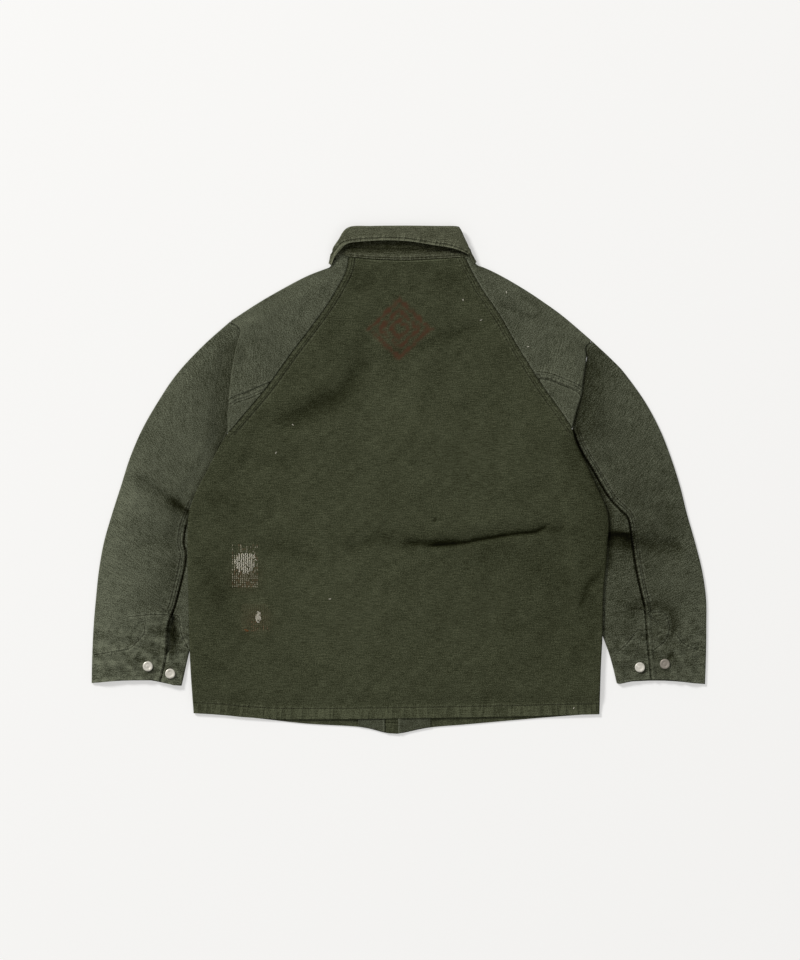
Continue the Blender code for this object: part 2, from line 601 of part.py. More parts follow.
def collar():
    """One band, sewn to the neck, folded along its middle and wrapped round both ends to the front."""
    neck_line = np.vstack([LEFT.neck_edge.points[::-1], Line(NECK).points[1:], RIGHT.neck_edge.points[1:]])
    back_neck, front_neck = Line(neck_line, steps=1).beside(SEAM), Line(FRONT_NECK).beside(2 * SEAM)
    fold, leaf = Line(COLLAR_FOLD), Line(COLLAR_LEAF)
    middle = LEAF_LIFT + FLAT_EDGE / 2
    pinched = FLAT_EDGE / 2 - WALL

    def front_half(side, centre):
        found = []
        end = front_neck.points[0 if side.sign < 0 else -1, 0]
        for share in np.linspace(0, 1, 9):
            x = end + (centre - end) * share**1.5
            seam = np.array([x, front_neck.y_at(x)])
            lean = side.collar_lean * (1 - soft_step(share * 2.5))
            top = seam + (17 + 13 * share) * MM * np.array([-side.sign * math.sin(lean), math.cos(lean)])
            edge = top - (0, (17 + 41 * soft_step(share * 1.8)) * MM)
            found.append(collar_section(seam, top, edge, (0, 0, -1), middle - pinched, GAP))
        return found

    def turn(side, t):
        found = []
        lean = side.collar_lean
        upwards = np.array([-side.sign * math.sin(lean), math.cos(lean)])
        for angle in (45, 0, -45, -90):
            a = math.radians(angle)
            outwards = math.cos(a)
            normal = (side.sign * math.cos(lean) * outwards, math.sin(lean) * outwards, math.sin(a))
            seam = back_neck.at(t) + (side.sign * pinched * math.cos(a), END_CLEARANCE)
            top, edge = seam + 17 * MM * upwards, seam + 1 * MM * upwards
            gap = GAP + 0.6 * MM * (angle + 90) / 180
            found.append(collar_section(seam, top, edge, normal, middle + pinched * math.sin(a), gap))
        return found

    sections = front_half(LEFT, -14.5 * MM)[::-1] + turn(LEFT, 0)[::-1]
    for turned in np.linspace(0, math.pi, 22):
        t = (1 - math.cos(turned)) / 2
        raised = soft_step(min(t, 1 - t) / 0.11)
        height = middle + pinched + (BODY_TOP + 0.6 * MM - WALL - middle - pinched) * raised
        gap = GAP + 0.6 * MM + 4.6 * MM * math.sin(math.pi * t) ** 0.5
        seam = back_neck.at(t) + (0, END_CLEARANCE * (1 - soft_step(min(t, 1 - t) / 0.1)))
        sections.append(collar_section(seam, fold.at(t), leaf.at(t), (0, 0, 1), height, gap))
    sections += turn(RIGHT, 1) + front_half(RIGHT, -9 * MM)

    mesh = bpy.data.meshes.new("collar")
    shape = bmesh.new()
    rings = [[shape.verts.new(point) for point in section] for section in sections]
    count = len(rings[0])
    for one, two in zip(rings, rings[1:]):
        for k in range(count):
            following = (k + 1) % count
            shape.faces.new((one[k], one[following], two[following], two[k]))
    for ring in (rings[0], rings[-1]):
        for k in range(count // 2 - 1):
            shape.faces.new((ring[k], ring[k + 1], ring[count - 2 - k], ring[count - 1 - k]))
    bmesh.ops.recalc_face_normals(shape, faces=shape.faces)
    shape.to_mesh(mesh)
    shape.free()
    mesh.materials.append(canvas_collar)
    mesh.shade_smooth()
    mesh.set_sharp_from_angle(angle=math.radians(50))
    jacket.objects.link(bpy.data.objects.new("collar", mesh))


jacket = bpy.data.collections.new("raglan_jacket")
bpy.context.scene.collection.children.link(jacket)
canvas_back = cloth_material("canvas_back", CANVAS_BACK)
canvas_sleeve = cloth_material("canvas_sleeve", CANVAS_SLEEVE)
canvas_collar = cloth_material("canvas_collar", CANVAS_COLLAR)
snap_metal = cloth_material("snap_metal", SNAP_METAL, roughness=0.35, metallic=1.0)

back_panel()
front_panel("front_left", LEFT, LEFT_CENTRE_EDGE)
front_panel("front_right", RIGHT, RIGHT_CENTRE_EDGE)
facing("facing_left", LEFT, -61 * MM, -22 * MM)
facing("facing_right", RIGHT, 9 * MM, 47 * MM)
collar()
for half in (LEFT, RIGHT):
    shoulder(half)
    sleeve_head(half)
    upper_sleeve(half)
    under_sleeve(half)
snap("snap_left_outer", -376.5 * MM, -280 * MM, LEFT)
snap("snap_left_inner", -343 * MM, -291 * MM, LEFT)
snap("snap_right_inner", 361 * MM, -281.5 * MM, RIGHT)
snap("snap_right_outer", 398.5 * MM, -276.5 * MM, RIGHT)
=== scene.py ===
"""A raglan work jacket in heavy canvas, laid face down: its cloth, seams, stitches, darns and press studs.

Metres. +Y runs towards the collar and -X is the wearer's left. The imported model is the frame.
"""

import math

import bpy
import numpy as np
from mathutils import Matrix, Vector


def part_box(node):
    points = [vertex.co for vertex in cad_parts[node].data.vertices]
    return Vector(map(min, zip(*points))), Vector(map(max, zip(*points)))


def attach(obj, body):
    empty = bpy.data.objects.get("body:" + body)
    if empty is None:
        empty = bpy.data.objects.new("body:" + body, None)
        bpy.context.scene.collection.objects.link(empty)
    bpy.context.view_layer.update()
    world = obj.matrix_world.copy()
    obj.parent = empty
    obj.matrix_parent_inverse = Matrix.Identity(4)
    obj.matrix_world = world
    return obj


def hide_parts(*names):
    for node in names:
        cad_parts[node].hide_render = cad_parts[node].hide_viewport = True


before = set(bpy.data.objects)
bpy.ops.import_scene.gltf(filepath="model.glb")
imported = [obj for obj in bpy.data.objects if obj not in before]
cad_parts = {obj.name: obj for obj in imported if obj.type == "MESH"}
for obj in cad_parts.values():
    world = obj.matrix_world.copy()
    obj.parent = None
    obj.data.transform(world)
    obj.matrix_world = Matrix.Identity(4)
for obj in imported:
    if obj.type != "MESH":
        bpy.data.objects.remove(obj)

bl_info = {
    "name": "Raglan canvas jacket",
    "version": (1, 0, 0),
    "blender": (4, 5, 0),
    "location": "3D View > Sidebar > Jacket",
    "description": "Makes a worn canvas work jacket, laid face down, piece by piece",
    "category": "Object",
}

MM = 0.001
WALL = 1.5 * MM  # of a cloth piece
FACING_WALL = 1.1 * MM
GAP = 0.3 * MM  # between two pieces that meet
SEAM = 0.6 * MM  # from a seam's line to the piece sewn on
FLAT_EDGE = 3.6 * MM  # the height of a pressed edge, two walls and the air between them
BODY_TOP = 6.8 * MM
BODY_EDGE = 2.4 * MM  # how far the back turns down at its sides
SLEEVE_LOFT = 2.9 * MM
SOFT = 30 * MM  # over which a sleeve rises from its edge
PRESSED = 26 * MM  # over which a shoulder does
OVER_SLEEVE = FLAT_EDGE + GAP
LEAF_LIFT = WALL + GAP
TUCK = 12 * MM  # how far a sleeve's top runs in under the shoulder's fold
NECK_CLEARANCE = 1.4 * MM
NECK_RISE = 0.6 * MM
END_CLEARANCE = 2.6 * MM
STAND = 17 * MM  # the height of the collar's stand at its ends
HEM_DEPTH = 16 * MM
HEM_RISE = 0.7 * MM
GROOVE = 1.3 * MM  # the half width of a seam's groove
FELL = 9 * MM  # from a seam to its second row of stitches
EDGE_ROW = 1.9 * MM  # from a seam to its first row
SHOULDER_ROW_PLACES = (2 * MM, 10 * MM)
COLLAR_ROW = 3.5 * MM
ALLOWANCE = 3.4 * MM  # what a seam turns under the piece beyond it
ALLOWANCE_STEP = 0.15 * MM
ALLOWANCE_DROP = 1.5 * MM
CUFF_SHARE = 0.93  # the share of a sleeve's length where its uneven lower edge sets in
FAR = 60 * MM  # what counts as away from every seam
VIEW_SIDE = 1.44  # the taller side of the view, in metres on the floor
VIEW_CENTRE = (1.5 * MM, -0.75 * MM)
MARK = (0.5 * MM, 226 * MM)  # the middle of the worn mark
MARK_HALF = (46 * MM, 44 * MM)
ROUND_DARN = np.array([-229.9, -125.3])  # the middles of the two mended spots, in millimetres
TEAR = np.array([-210.7, -206.0])


def measure(name, note, default, **kind):
    """A size in the panel."""
    return bpy.props.FloatProperty(name=name, description=note, default=default, **kind)


class JacketSizes(bpy.types.PropertyGroup):
    """Sizes that a maker would change."""

    fold_height: measure("Fold height", "How deep the creases are, against the real ones", 1.0)
    yarn: measure("Yarn pitch", "From one yarn of the canvas to the next", 1.0 * MM, unit="LENGTH")
    stitch: measure("Stitch", "Length of one stitch", 2.7 * MM, unit="LENGTH")
    stitch_pitch: measure("Stitch pitch", "From one stitch to the next", 3.6 * MM, unit="LENGTH")
    thread: measure("Thread", "Radius of the sewing thread", 0.33 * MM, unit="LENGTH")
    snap_radius: measure("Press stud", "Radius of a press stud's cap", 7.6 * MM, unit="LENGTH")
    snap_height: measure("Cap height", "Height of a press stud's cap", 2.6 * MM, unit="LENGTH")
    camera_height: measure("Camera height", "From the floor to the camera", 8.0, unit="LENGTH")


def colour(name, note, *value):
    """A colour in the panel."""
    return bpy.props.FloatVectorProperty(
        name=name, description=note, default=value, subtype="COLOR", size=3, min=0, max=1
    )


class JacketColours(bpy.types.PropertyGroup):
    """Colours that a maker would change."""

    body: colour("Back canvas", "The back and the fronts", 0.046, 0.050, 0.027)
    sleeve: colour("Sleeve canvas", "The sleeves and shoulders, more faded", 0.072, 0.077, 0.051)
    collar: colour("Collar canvas", "The collar", 0.076, 0.079, 0.050)
    thread: colour("Sewing thread", "The seams' own thread", 0.085, 0.088, 0.055)
    rust: colour("Faded mark", "The worn lozenge on the back", 0.072, 0.036, 0.020)
    cream: colour("Darning thread", "The mended spots", 0.88, 0.83, 0.69)
    dim: colour("Worn darning thread", "The columns above and below the round darn", 0.60, 0.54, 0.40)
    pink: colour("Second darning thread", "Faded stitches below the mended spots", 0.28, 0.165, 0.095)
    brown: colour("Third darning thread", "Stitches that nearly match the cloth", 0.165, 0.150, 0.080)
    orange: colour("Rust stain", "The small stain beside the lower darn", 0.26, 0.085, 0.022)
    metal: colour("Stud metal", "The press studs", 0.80, 0.76, 0.66)
    worn: colour("Worn stud metal", "The stud whose plating is gone", 0.34, 0.30, 0.25)
    floor: colour("Floor", "What the jacket lies on", 0.56, 0.555, 0.545)


def mm(*points):
    """Points given in millimetres, as an array in metres."""
    return np.array(points, float) * MM


def soft_step(t):
    """0 below 0, 1 above 1, with level ends."""
    t = np.clip(t, 0, 1)
    return t * t * (3 - 2 * t)


def bump(distance, width):
    """1 on a line and falling away beside it."""
    return np.exp(-((distance / width) ** 2))


def ripple(x, y, wave, seed, stretch=1.0, lean=0.0):
    """An uneven surface made of many faint waves of about one length. It is longer along lean."""
    rng = np.random.default_rng(seed)
    along, across = x * math.cos(lean) + y * math.sin(lean), y * math.cos(lean) - x * math.sin(lean)
    total = 0
    for turn, phase, size in rng.uniform((0, 0, 0.7), (math.pi, 2 * math.pi, 1.4), (14, 3)):
        k = 2 * math.pi / (wave * size)
        total = total + np.sin(k * (along * math.cos(turn) / stretch + across * math.sin(turn)) + phase)
    return total / math.sqrt(7)


class Line:
    """A smooth line in plan through a few points, placed along by its share of the length."""

    def __init__(self, points, steps=8):
        p = np.asarray(points, float)
        ends = np.vstack([2 * p[0] - p[1], p, 2 * p[-1] - p[-2]])
        t = np.linspace(0, 1, steps, endpoint=False)[:, None]
        spans = []
        for a, b, c, d in zip(ends, ends[1:], ends[2:], ends[3:]):
            cubic = (2 * a - 5 * b + 4 * c - d) * t**2 + (3 * b - a - 3 * c + d) * t**3
            spans.append(0.5 * (2 * b + (c - a) * t + cubic))
        self.points = np.vstack([*spans, p[-1:]])
        gaps = np.linalg.norm(np.diff(self.points, axis=0), axis=1)
        self.lengths = np.concatenate([[0], np.cumsum(gaps)])
        self.length = self.lengths[-1]

    def at(self, share):
        """The point, or points, at a share of the length."""
        reach = np.asarray(share) * self.length
        return np.stack([np.interp(reach, self.lengths, self.points[:, k]) for k in (0, 1)], -1)

    def beside(self, distance):
        """The line that runs beside this one, on its left hand."""
        run = np.gradient(self.points, axis=0)
        run = run / np.linalg.norm(run, axis=1)[:, None]
        return Line(self.points + distance * np.stack([-run[:, 1], run[:, 0]], 1), steps=1)

    def part(self, start, end):
        """The same line between two shares of its length."""
        return Line(self.at(np.linspace(start, end, 60)), steps=1)

    def bow(self, share):
        """How far the line stands off the straight one between its ends."""
        share = np.asarray(share)[:, None]
        return self.at(share[:, 0]) - self.at(0) * (1 - share) - self.at(1) * share

    def x_at(self, y):
        """Where a line that runs down the garment has this y."""
        order = np.argsort(self.points[:, 1])
        return np.interp(y, self.points[order, 1], self.points[order, 0])

    def y_at(self, x):
        """Where a line that runs across the garment has this x."""
        order = np.argsort(self.points[:, 0])
        return np.interp(x, self.points[order, 0], self.points[order, 1])

    def near(self, x, y, reach):
        """How far points are from the line, positive on its left hand, and how far along it. Past reach
        neither is worked out."""
        across, along = np.full(x.shape, 10 * reach), np.zeros(x.shape)
        low, high = self.points.min(0) - reach, self.points.max(0) + reach
        close = (x > low[0]) & (x < high[0]) & (y > low[1]) & (y < high[1])
        if not close.any():
            return across, along
        p, q = self.points[:-1], self.points[1:]
        run = q - p
        to = np.stack([x[close], y[close]], -1)[:, None, :] - p
        t = np.clip((to * run).sum(-1) / (run**2).sum(-1), 0, 1)
        off = to - t[..., None] * run
        away = np.linalg.norm(off, axis=-1)
        rows = np.arange(len(away))
        best = away.argmin(-1)
        side = run[best, 0] * off[rows, best, 1] - run[best, 1] * off[rows, best, 0]
        across[close] = away[rows, best] * np.where(side > 0, 1, -1)
        along[close] = self.lengths[best] + t[rows, best] * (self.lengths[best + 1] - self.lengths[best])
        return across, along


class Fold:
    """A trough along a line, or a ridge where depth is negative. Its flanks differ, a low edge makes it
    sharp, and dark is how much painted shade it puts on the cloth; below 0 it is a painted highlight."""

    def __init__(self, points, depth, left, right, edge=2.0, dark=0.0, fade=0.22):
        self.line = Line(mm(*points), steps=6)
        self.depth, self.left, self.right = depth * MM, left * MM, right * MM
        self.edge, self.dark, self.fade = edge, dark, fade

    def profile(self, x, y):
        """How far points are in the fold: 1 on its line, 0 away from it and at its ends."""
        across, along = self.line.near(x, y, 3 * max(self.left, self.right))
        share = along / self.line.length
        fade = soft_step(share / self.fade) * soft_step((1 - share) / self.fade)
        width = np.where(across > 0, self.left, self.right)
        return fade * np.exp(-(np.abs(across / width) ** self.edge))


# The outlines, as they lie. Each runs from the collar towards the hem, or from left to right.
NECK = mm((-75, 333.5), (-35, 330), (8, 328.8), (52, 330.5), (98.3, 333.5))
BACK_HEM = mm((-308, -350.5), (-265, -353), (-223, -357), (-140, -359.5), (104, -356.5), (300.6, -352))
FRONT_NECK = mm((-96, 314), (-84, 290), (-52, 268), (-12, 262), (32, 266), (90, 290), (108, 316))
FRONT_HEM = mm(
    (-306, -350), (-223, -357), (-140, -366), (-60, -371), (-22, -379.5), (-10, -380.9), (4, -380.5),
    (46, -372), (104, -367), (212, -357.5), (298.6, -351)
)
COLLAR_FOLD = mm(
    (-99, 338.5), (-99.5, 346), (-91.5, 358.5), (-76, 378), (-40, 380), (8, 380.5), (60, 380), (86, 379.6),
    (92, 376), (98, 363), (104.5, 349), (105.5, 338.5)
)
COLLAR_LEAF = mm(
    (-101.5, 321), (-96, 339), (-85, 351.5), (-65, 356), (-24, 358.5), (10, 357.5), (44, 352.5), (76, 347.5),
    (97, 340), (107, 333), (111.5, 323)
)
LEFT_CENTRE_EDGE = -3.5 * MM
RIGHT_CENTRE_EDGE = -20 * MM
LAP_END = 8 * MM


class Side:
    """The lines of one side of the jacket. sign is -1 on the wearer's left."""

    def __init__(self, sign, **lines):
        self.sign = sign
        self.name = "left" if sign < 0 else "right"
        self.collar_lean = 0.2 if sign < 0 else 0.5
        for name, points in lines.items():
            setattr(self, name, Line(mm(*points)))
        self.raglan = Line(mm(*lines["raglan_to_seam"], *lines["seam_to_underarm"][1:]))


LEFT = Side(
    -1,
    raglan_to_seam=[
        (-75, 333.5), (-79, 313), (-92, 287), (-109, 259), (-134.5, 224), (-163, 186.5), (-191, 147)
    ],
    seam_to_underarm=[(-191, 147), (-210, 123), (-229, 101), (-246.5, 80), (-256.5, 70)],
    body_edge=[
        (-256.5, 70), (-273.5, 41), (-289.5, 9.5), (-305, -20), (-314.5, -49), (-317, -80), (-317, -112),
        (-315.5, -188), (-314, -248), (-312.5, -286), (-308, -350.5)
    ],
    neck_edge=[(-75, 333.5), (-86, 336), (-95, 331), (-101.5, 319)],
    shoulder_seam=[(-191, 147), (-212, 138), (-230, 130), (-246, 125), (-255.5, 119)],
    shoulder_fold=[(-252, 238), (-238, 226), (-243, 205), (-249, 175), (-253.5, 141), (-255.5, 119)],
    head_fold=[(-255.5, 119), (-257, 96), (-256.5, 70)],
    front_raglan=[(-96, 314), (-106, 288), (-128, 244), (-158, 196), (-196, 142), (-230, 96), (-251.5, 73)],
    shoulder_outline=[(-101.5, 319), (-138, 305), (-177, 284.5), (-213, 263.5), (-252, 238)],
    arm_outline=[
        (-252, 238), (-294, 200.5), (-333, 158.5), (-361.5, 116.5), (-385.5, 74.5), (-403.5, 32.5),
        (-417, -10), (-430.5, -52), (-442.5, -94), (-450, -136), (-454.5, -178), (-458, -220),
        (-460, -262), (-461, -304)
    ],
    back_seam=[
        (-257, 70), (-268, 42), (-284, 8), (-300, -22), (-312, -50), (-320, -73), (-322.5, -95),
        (-319, -108), (-320, -124), (-324, -145), (-329, -165), (-335, -189), (-341.5, -205),
        (-346.5, -221), (-347.7, -245), (-350, -270), (-358, -303)
    ],
    inner_fold=[
        (-254, 68), (-256.5, 52), (-261, 36), (-267, 0), (-274, -50), (-281, -100), (-288, -150),
        (-296, -195), (-305, -230), (-314.3, -259), (-321, -287), (-326, -306)
    ],
    front_seam=[
        (-255.5, 68), (-268, 36), (-282, 0), (-294, -50), (-301, -100), (-309, -150), (-317, -200),
        (-327, -250), (-338, -305)
    ],
)
RIGHT = Side(
    1,
    raglan_to_seam=[(98.3, 333.5), (109, 312), (125.5, 283), (150.5, 246.5), (176, 202), (207.5, 151.7)],
    seam_to_underarm=[(207.5, 151.7), (226, 125), (245.5, 98), (259, 77)],
    body_edge=[
        (259, 77), (267, 52), (285, 16), (300, -17), (310.5, -41), (314.5, -65), (313, -90),
        (311.5, -122), (307, -163), (305.5, -213), (305, -238), (302.5, -286), (300.6, -352)
    ],
    neck_edge=[(98.3, 333.5), (105, 332.5), (110, 328.5), (113, 320.5)],
    shoulder_seam=[(207.5, 151.7), (225, 149), (243, 142), (258, 136), (269, 130), (273, 124)],
    shoulder_fold=[(288, 209), (280, 200), (281, 184), (277, 156), (273, 124)],
    head_fold=[(273, 124), (266, 103), (259, 77)],
    front_raglan=[(108, 316), (116, 290), (138, 246), (168, 198), (206, 144), (238, 100), (254, 80)],
    shoulder_outline=[
        (112.4, 319.8), (124, 319), (153, 305.5), (189, 284.5), (220.5, 263.5), (249, 242.5), (288, 209)
    ],
    arm_outline=[
        (288, 209), (319.5, 179.5), (339, 158.5), (369, 116.5), (391.5, 74.5), (408, 32.5),
        (421.5, -10), (432, -52), (444, -94), (454.5, -136), (460.5, -178), (461, -220), (460.5, -262),
        (459, -305)
    ],
    back_seam=[
        (260.5, 76), (272.7, 44.3), (291, 13.5), (311, -21), (320, -34), (331, -45), (343.5, -59.5),
        (349.5, -93), (354.3, -128), (362, -166), (368.6, -194.5), (371.7, -238.5), (378, -302)
    ],
    inner_fold=[
        (256, 75), (258.5, 60), (263, 42), (268, 0), (277, -50), (284, -100), (290, -150), (296, -195),
        (302, -225), (308, -241.7), (314.7, -260), (321, -282), (326.5, -305)
    ],
    front_seam=[
        (257.5, 75), (268, 40), (282, 4), (296, -50), (303, -100), (311, -150), (319, -200),
        (330, -250), (340, -305)
    ],
)

# The folds, read along each: depth, the widths of its left and right flank, how sharp it is, and how much
# painted shade it has, a painted highlight where that is below 0.
BACK_FOLDS = [
    Fold(
        [(30, -102), (60, -100), (94, -97), (132, -90), (177, -83), (200, -81), (212, -77), (231, -63)],
        2.4, 8, 3.4, 1.2, 0.26, 0.14
    ),
    Fold(
        [(32, -100.5), (60, -98), (94, -95), (132, -88), (177, -81), (200, -79), (212, -75), (230, -61.5)],
        0.7, 3.0, 1.9, 1.4, 1.35, 0.13
    ),
    Fold([(212, -78), (232, -75), (252, -72)], 0.4, 4, 3, 2, 0.3, 0.3),
    Fold([(6, -93), (35, -95.5), (62, -95), (98, -91)], 0.8, 5, 5, 2, 0.5, 0.2),
    Fold([(0, -96), (30, -95), (62, -96), (85, -95)], 1.2, 9, 4, 1.4, 0.42),
    Fold([(60, -100), (120, -104), (190, -108), (262, -112)], 0.6, 10, 38, 2, 0.14),
    Fold([(40, -80), (100, -73), (160, -60), (215, -52)], -1.4, 12, 12, 2, -0.04),
    Fold([(-90, -118), (-63, -101), (-28, -88), (0, -98), (40, -97)], 1.6, 13, 8, 1.6, 0.3),
    Fold([(190, -86), (228, -78), (260, -76), (289, -73)], 0.7, 9, 7, 2, 0.12),
    Fold(
        [(-214, -110), (-201, -109), (-186, -98), (-171, -103), (-148, -112), (-111, -115)],
        1.1, 11, 9, 1.6, 0.25
    ),
    Fold(
        [(-235, 88), (-205, 89), (-160, 93), (-114, 116), (-82, 136), (-64, 162), (-50, 200), (-30, 222)],
        1.9, 15, 18, 1.8, 0.50, 0.4
    ),
    Fold([(-190, 62), (-130, 66), (-80, 92), (-40, 130)], -1.2, 18, 18, 2, -0.05),
    Fold([(-38, 175), (0, 188), (31, 199), (84, 217), (136, 238)], 1.0, 10, 8, 1.8, 0.3),
    Fold([(-81, 284), (-55, 293), (-28, 299)], 0.6, 11, 11, 2, 0.2),
    Fold([(-253, 29), (-193, 26), (-133, 26)], 0.7, 13, 11, 2, 0.1),
    Fold([(-291, -23), (-261, -34), (-231, -41)], 0.8, 10, 12, 2, 0.15),
    Fold([(-308, -100), (-294, -128), (-279, -158), (-268, -190), (-262, -226)], 1.3, 18, 18, 2, 0.24, 0.4),
    Fold([(-310, -248), (-283, -275), (-246, -301)], 0.9, 12, 11, 2, 0.14),
    Fold([(266, -200), (274, -182), (282, -160), (296, -145), (308, -136)], 1.2, 3.5, 5, 1.4, 0.6),
    Fold([(151, -226), (175, -221), (199, -218)], 0.6, 9, 9, 2, 0.12),
    Fold(
        [(258, 79), (267, 52), (284, 16), (299, -17), (309, -44), (311, -90), (309, -140)],
        0.2, 3, 3, 1.6, 0.35, 0.06
    ),
    Fold([(121, -331), (147, -322), (174, -316)], 0.6, 9, 9, 2, 0.12),
    Fold([(159, -26), (199, -13), (241, -1)], 0.7, 11, 11, 2, 0.14),
]
SHOULDER_FOLDS = [
    Fold([(-258, 232), (-231, 237), (-207, 242)], -1.0, 8, 10, 2, -0.1),
    Fold([(-240, 215), (-236, 178), (-243, 135)], 1.1, 8, 12, 2, 0.1),
    Fold([(-205, 224), (-208, 182), (-214, 146)], -0.6, 16, 16),
    Fold([(268, 212), (262, 180), (258, 146)], -0.8, 10, 14),
    Fold([(236, 226), (222, 188), (214, 158)], 0.6, 14, 14, 2, 0.08),
    Fold([(149, 264), (177, 252), (207, 241)], 0.25, 3, 3, 2, 0.34, 0.1),
    Fold([(207, 241), (211, 256), (196, 268), (180, 276)], 0.2, 3, 3, 2, 0.26, 0.1),
]
ARM_FOLDS = [
    Fold([(-408, 16), (-393, 7), (-351, -23), (-330, -36), (-312, -48)], 2.2, 6, 15, 1.5, 0.45),
    Fold([(-418, -25), (-373, -48), (-328, -72)], -1.6, 15, 16, 2, -0.12),
    Fold([(-400, -94), (-373, -92), (-330, -94)], 1.2, 12, 12, 2, 0.22),
    Fold([(-400, -188), (-369, -187), (-336, -188)], 0.9, 9, 9, 2, 0.1),
    Fold([(-396, 22), (-373, 82), (-343, 127)], 0.8, 15, 15, 2, 0.05),
    Fold([(298, -82), (318, -81.5), (334, -82), (354, -87)], 2.4, 3, 5, 1.8, 2.2, 0.05),
    Fold([(298, -88), (318, -90), (354, -96)], 0.5, 6, 12, 2, 0.7, 0.05),
    Fold([(330, -84), (345, -88), (361, -92), (388, -95), (414, -98), (428, -118)], 2.4, 9, 17, 1.6, 0.52),
    Fold([(312, -50), (336, -53), (354, -58), (392, -64)], -1.6, 12, 13, 2, -0.08),
    Fold(
        [(328, -206), (345, -196), (369, -189), (392, -190), (409, -204), (410, -224), (402, -246)],
        1.3, 9, 7, 1.6, 0.42
    ),
    Fold([(-398, -265), (-392, -269), (-385, -276)], 0.6, 2.5, 3, 1.5, 0.9, 0.3),
    Fold([(398, -273), (406, -266), (413, -257)], 0.6, 3, 2.5, 1.5, 0.9, 0.3),
    Fold([(394, -1), (402, -53), (429, -128)], 0.9, 14, 14, 2, 0.1),
    Fold(
        [(284, 210), (281, 184), (277, 156), (273, 124), (266, 103), (262, 70), (270, 40)],
        2.0, 30, 9, 1.5, 0.72, 0.12
    ),
    Fold([(322, 160), (330, 120), (334, 70)], -0.9, 14, 18, 2, -0.06),
    Fold(
        [(260, 80), (269, 52), (288, 15), (304, -18), (314, -44), (317, -80), (316, -140)],
        0.4, 4, 4, 1.4, 0.7, 0.05
    ),
    Fold(
        [(266, 62), (273, 44), (291, 13.5), (311, -21), (331, -45), (344, -60), (350, -93), (354, -128),
         (362, -166), (369, -194)],
        0.2, 1.8, 1.8, 1.6, 1.5, 0.03
    ),
    Fold(
        [(-319, -64), (-322.5, -95), (-320, -124), (-329, -165), (-341.5, -205), (-347, -226)],
        0.3, 1.5, 1.6, 1.5, 1.5, 0.06
    ),
    Fold([(-352, -22), (-332, -37), (-316, -48), (-298, -60)], 0.8, 5, 8, 1.6, 1.0, 0.3),
    Fold(
        [(-257, 66), (-276, 40), (-292, 8), (-308, -22), (-317.5, -50), (-320, -80)],
        0.3, 3, 4, 1.4, 0.45, 0.08
    ),
    Fold(
        [(-240, 218), (-244, 200), (-250, 175), (-254, 141), (-256, 119), (-258, 96), (-262, 60),
         (-276, 30)],
        1.6, 9, 24, 1.5, 0.60, 0.1
    ),
]
# Broad places of painted light and shade, and a few real blotches: where, how wide and high, and how dark,
# in millimetres. Below 0 is lighter.
# The back: painted shadow by its right edge and shoulders, painted light in its middle, real blotches below
# the neck.
BACK_SHADES = [
    (-20, 105, 60, 70, -0.14), (-95, -180, 80, 130, -0.10), (60, 296, 60, 18, 0.10),
    (-50, 308, 60, 12, 0.06), (-27, 313, 11, 7, 0.18), (36, 320, 14, 7, 0.24), (58, 303, 8, 8, 0.22),
    (79, 304, 8, 9, 0.24), (-50, 288, 17, 8, 0.14), (-80, 190, 26, 60, 0.10), (-112, 114, 44, 22, 0.16),
    (-262, -20, 34, 70, 0.08), (-262, -180, 22, 60, 0.14), (180, -100, 110, 60, 0.07),
    (300, -60, 24, 170, 0.24), (230, -230, 80, 90, 0.10), (268, 40, 22, 50, 0.30),
    (252, -170, 40, 90, 0.10), (150, 60, 60, 80, -0.03), (-150, 30, 60, 40, -0.02),
    (0, -352, 330, 14, -0.16),
]
STAINS = [
    (-207, 104, 8, 8, 0.2), (-64, 307, 7, 9, 0.2), (54, -61, 2.5, 2.5, 1.2), (-230, -142, 17, 22, -0.12),
    (-214, -208, 18, 18, -0.05), (-246, -155, 4, 18, 0.1),
]
MENDED = [(-230, -145, 19, 20, 0.22), (-214, -210, 19, 18, 0.22)]  # these are rusty, not dark
# Painted light and shade on the shoulders.
SHOULDER_SHADES = [
    (-210, 240, 60, 30, -0.10), (-140, 180, 50, 24, 0.12), (-236, 160, 14, 50, 0.05),
    (150, 290, 60, 30, 0.02), (160, 232, 26, 50, 0.16), (240, 200, 34, 50, -0.08),
    (-160, 296, 90, 14, -0.12), (190, 280, 90, 14, -0.10), (205, 282, 34, 14, 0.06),
]
# The left sleeve is painted lighter, towards the light, and the open cuff slit holds a painted black shadow.
LEFT_SHADES = [
    (-440, -120, 36, 230, -0.28), (-410, 0, 34, 34, -0.20), (-370, 0, 200, 400, -0.10),
    (-350, -210, 26, 80, 0.22), (-345, -120, 34, 60, 0.14), (-330, -60, 26, 26, 0.20),
    (-400, -290, 70, 26, -0.07), (-345, 20, 40, 26, 0.10), (-300, 150, 30, 50, 0.08),
    (-335, -160, 14, 90, 0.16), (-338.5, -233, 7, 27, 1.3), (-372, -214, 22, 6, -0.20),
    (-420, -262, 34, 9, -0.16),
]
# The right sleeve is painted darker, away from the light, with painted shadow by the body and the placket.
RIGHT_SHADES = [
    (370, -40, 150, 300, 0.11), (360, -60, 70, 70, 0.28), (330, -80, 34, 30, 0.25),
    (370, -200, 60, 80, 0.22), (360, 40, 60, 60, 0.10), (330, 150, 50, 60, 0.02), (300, 80, 26, 70, 0.24),
    (450, -200, 16, 120, -0.06), (390, 70, 24, 60, -0.08), (400, -280, 70, 26, 0.05),
    (325, -190, 24, 90, 0.14), (409, -217, 7, 22, 0.25), (380, -194, 24, 6, 0.18),
]


